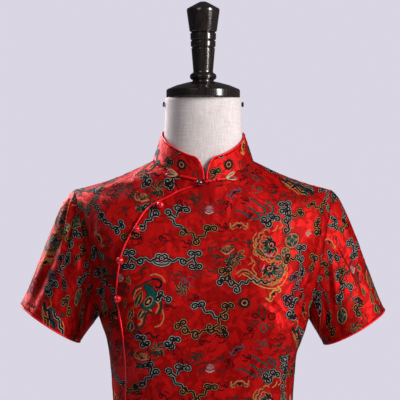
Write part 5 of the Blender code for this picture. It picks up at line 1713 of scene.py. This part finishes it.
def turn_on_lathe(name, turns, finish, node, y=0.0, softened=0.0006, steps=96):
    """Spins a profile of (radius, height), bottom to top, into a closed solid with softened edges."""
    bm = bmesh.new()
    corner = bm.verts.new((turns[0][0], y, turns[0][1]))
    for radius, z in turns[1:]:
        grown = bmesh.ops.extrude_vert_indiv(bm, verts=[corner])
        corner = grown["verts"][0]
        corner.co = (radius, y, z)
    bends = list(bm.verts)[1:-1]
    bmesh.ops.bevel(bm, geom=bends, affect="VERTICES", offset=softened, segments=2, profile=0.5, material=-1)
    profile = bm.verts[:] + bm.edges[:]
    full_turn = 2 * math.pi
    bmesh.ops.spin(
        bm, geom=profile, cent=(0, y, 0), axis=(0, 0, 1), angle=full_turn, steps=steps, use_merge=True
    )
    for low in (True, False):
        z = turns[0][1] if low else turns[-1][1]
        rim = [e for e in bm.edges if e.is_boundary and abs(e.verts[0].co.z - z) < 1e-5]
        bmesh.ops.contextual_create(bm, geom=rim)
    bmesh.ops.recalc_face_normals(bm, faces=bm.faces)
    made = make_piece(name, bm, 50)
    crisp = made.modifiers.new("crisp_edges", "WEIGHTED_NORMAL")
    crisp.weight = 100
    crisp.keep_sharp = True
    return fit(made, node, finish)


cap = turn_on_lathe("cap_and_finial", CAP_TURNS, LACQUER, "form_cap", y=FORM_BACK)

# A flag keeps the window's light off the lacquer, whose edge would glare
flagged = bpy.data.collections.new("flagged_from_window")
flagged.objects.link(cap)
flagged.collection_objects[0].light_linking.link_state = "EXCLUDE"
window.light_linking.receiver_collection = flagged

# ------------------------------------------------------------------------------ neck pegs
# Two small ridged steel screws in the sides of the neck, just under the cap, which hold it down.
# They are blackened, and their heads are knurled so that they turn by hand.

BLACK_STEEL = new_finish("black_steel", (0.030, 0.028, 0.027), 0.34, Metallic=0.8)
brushed = laid(BLACK_STEEL, place_in_room(BLACK_STEEL), 0.0, (700.0, 700.0, 14.0))
scratches = noise(BLACK_STEEL, brushed, 1.0, Detail=3.0)
dull, bright = (0.018, 0.017, 0.017), (0.060, 0.055, 0.052)
feed(BLACK_STEEL, "Base Color", two_tones(BLACK_STEEL, scratches, dull, bright))
feed(BLACK_STEEL, "Roughness", between_levels(BLACK_STEEL, scratches, 0.26, 0.46))
feed(BLACK_STEEL, "Normal", relief(BLACK_STEEL, scratches, 0.00005))

for hand, label in ((LEFT, "left"), (RIGHT, "right")):
    low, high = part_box(f"neck_peg_{label}")
    centre, length = (Vector(low) + Vector(high)) / 2, high[0] - low[0]
    bm = bmesh.new()
    bmesh.ops.create_cone(bm, cap_ends=True, segments=36, radius1=0.0036, radius2=0.0036, depth=length * 0.75)
    grooves = [v for v in bm.verts if round(math.atan2(v.co.y, v.co.x) / (2 * math.pi) * 36) % 2]
    for vert in grooves:
        vert.co.xy *= 0.9
    heads = [f for f in bm.faces if len(f.verts) > 4]
    bmesh.ops.inset_region(bm, faces=heads, thickness=0.0007, depth=length * 0.125)
    slot_face = [f for f in bm.faces if len(f.verts) > 4]
    bmesh.ops.inset_region(bm, faces=slot_face, thickness=0.0009, depth=-0.0003)
    bmesh.ops.rotate(bm, verts=bm.verts, cent=(0, 0, 0), matrix=Matrix.Rotation(QUARTER * hand, 3, "Y"))
    bmesh.ops.translate(bm, verts=bm.verts, vec=centre)
    fit(make_piece(f"neck_screw_{label}", bm, 35), f"neck_peg_{label}", BLACK_STEEL)

# ------------------------------------------------------------------------------ pole and base
# A black steel tube in a turned socket under the torso, and a round weighted base of lacquered wood
# with a collar that grips the tube. The base rests flat on the floor.

BASE_R = 0.175
BASE_TURNS = (
    (BASE_R - 0.002, 0.0), (BASE_R, 0.002), (BASE_R, 0.016), (BASE_R - 0.005, 0.020),
    (0.0600, 0.0260), (0.0330, 0.0330), (0.0260, 0.0520),
)
SOCKET_TURNS = (
    (0.0200, FORM_BOTTOM_Z - 0.0333), (0.0240, FORM_BOTTOM_Z - 0.0303),
    (0.0240, FORM_BOTTOM_Z - 0.0133), (0.0700, FORM_BOTTOM_Z - 0.0093),
    (0.0700, FORM_BOTTOM_Z - 0.0003),
)
turn_on_lathe("base_disc", BASE_TURNS, LACQUER, "base", softened=0.0012)
turn_on_lathe("socket", SOCKET_TURNS, LACQUER, "pole_socket")
POLE_TURNS = (0.0140, 0.0523), (0.0140, FORM_BOTTOM_Z - 0.0336)
turn_on_lathe("pole_tube", POLE_TURNS, BLACK_STEEL, "pole", softened=0.0)

bpy.context.view_layer.update()
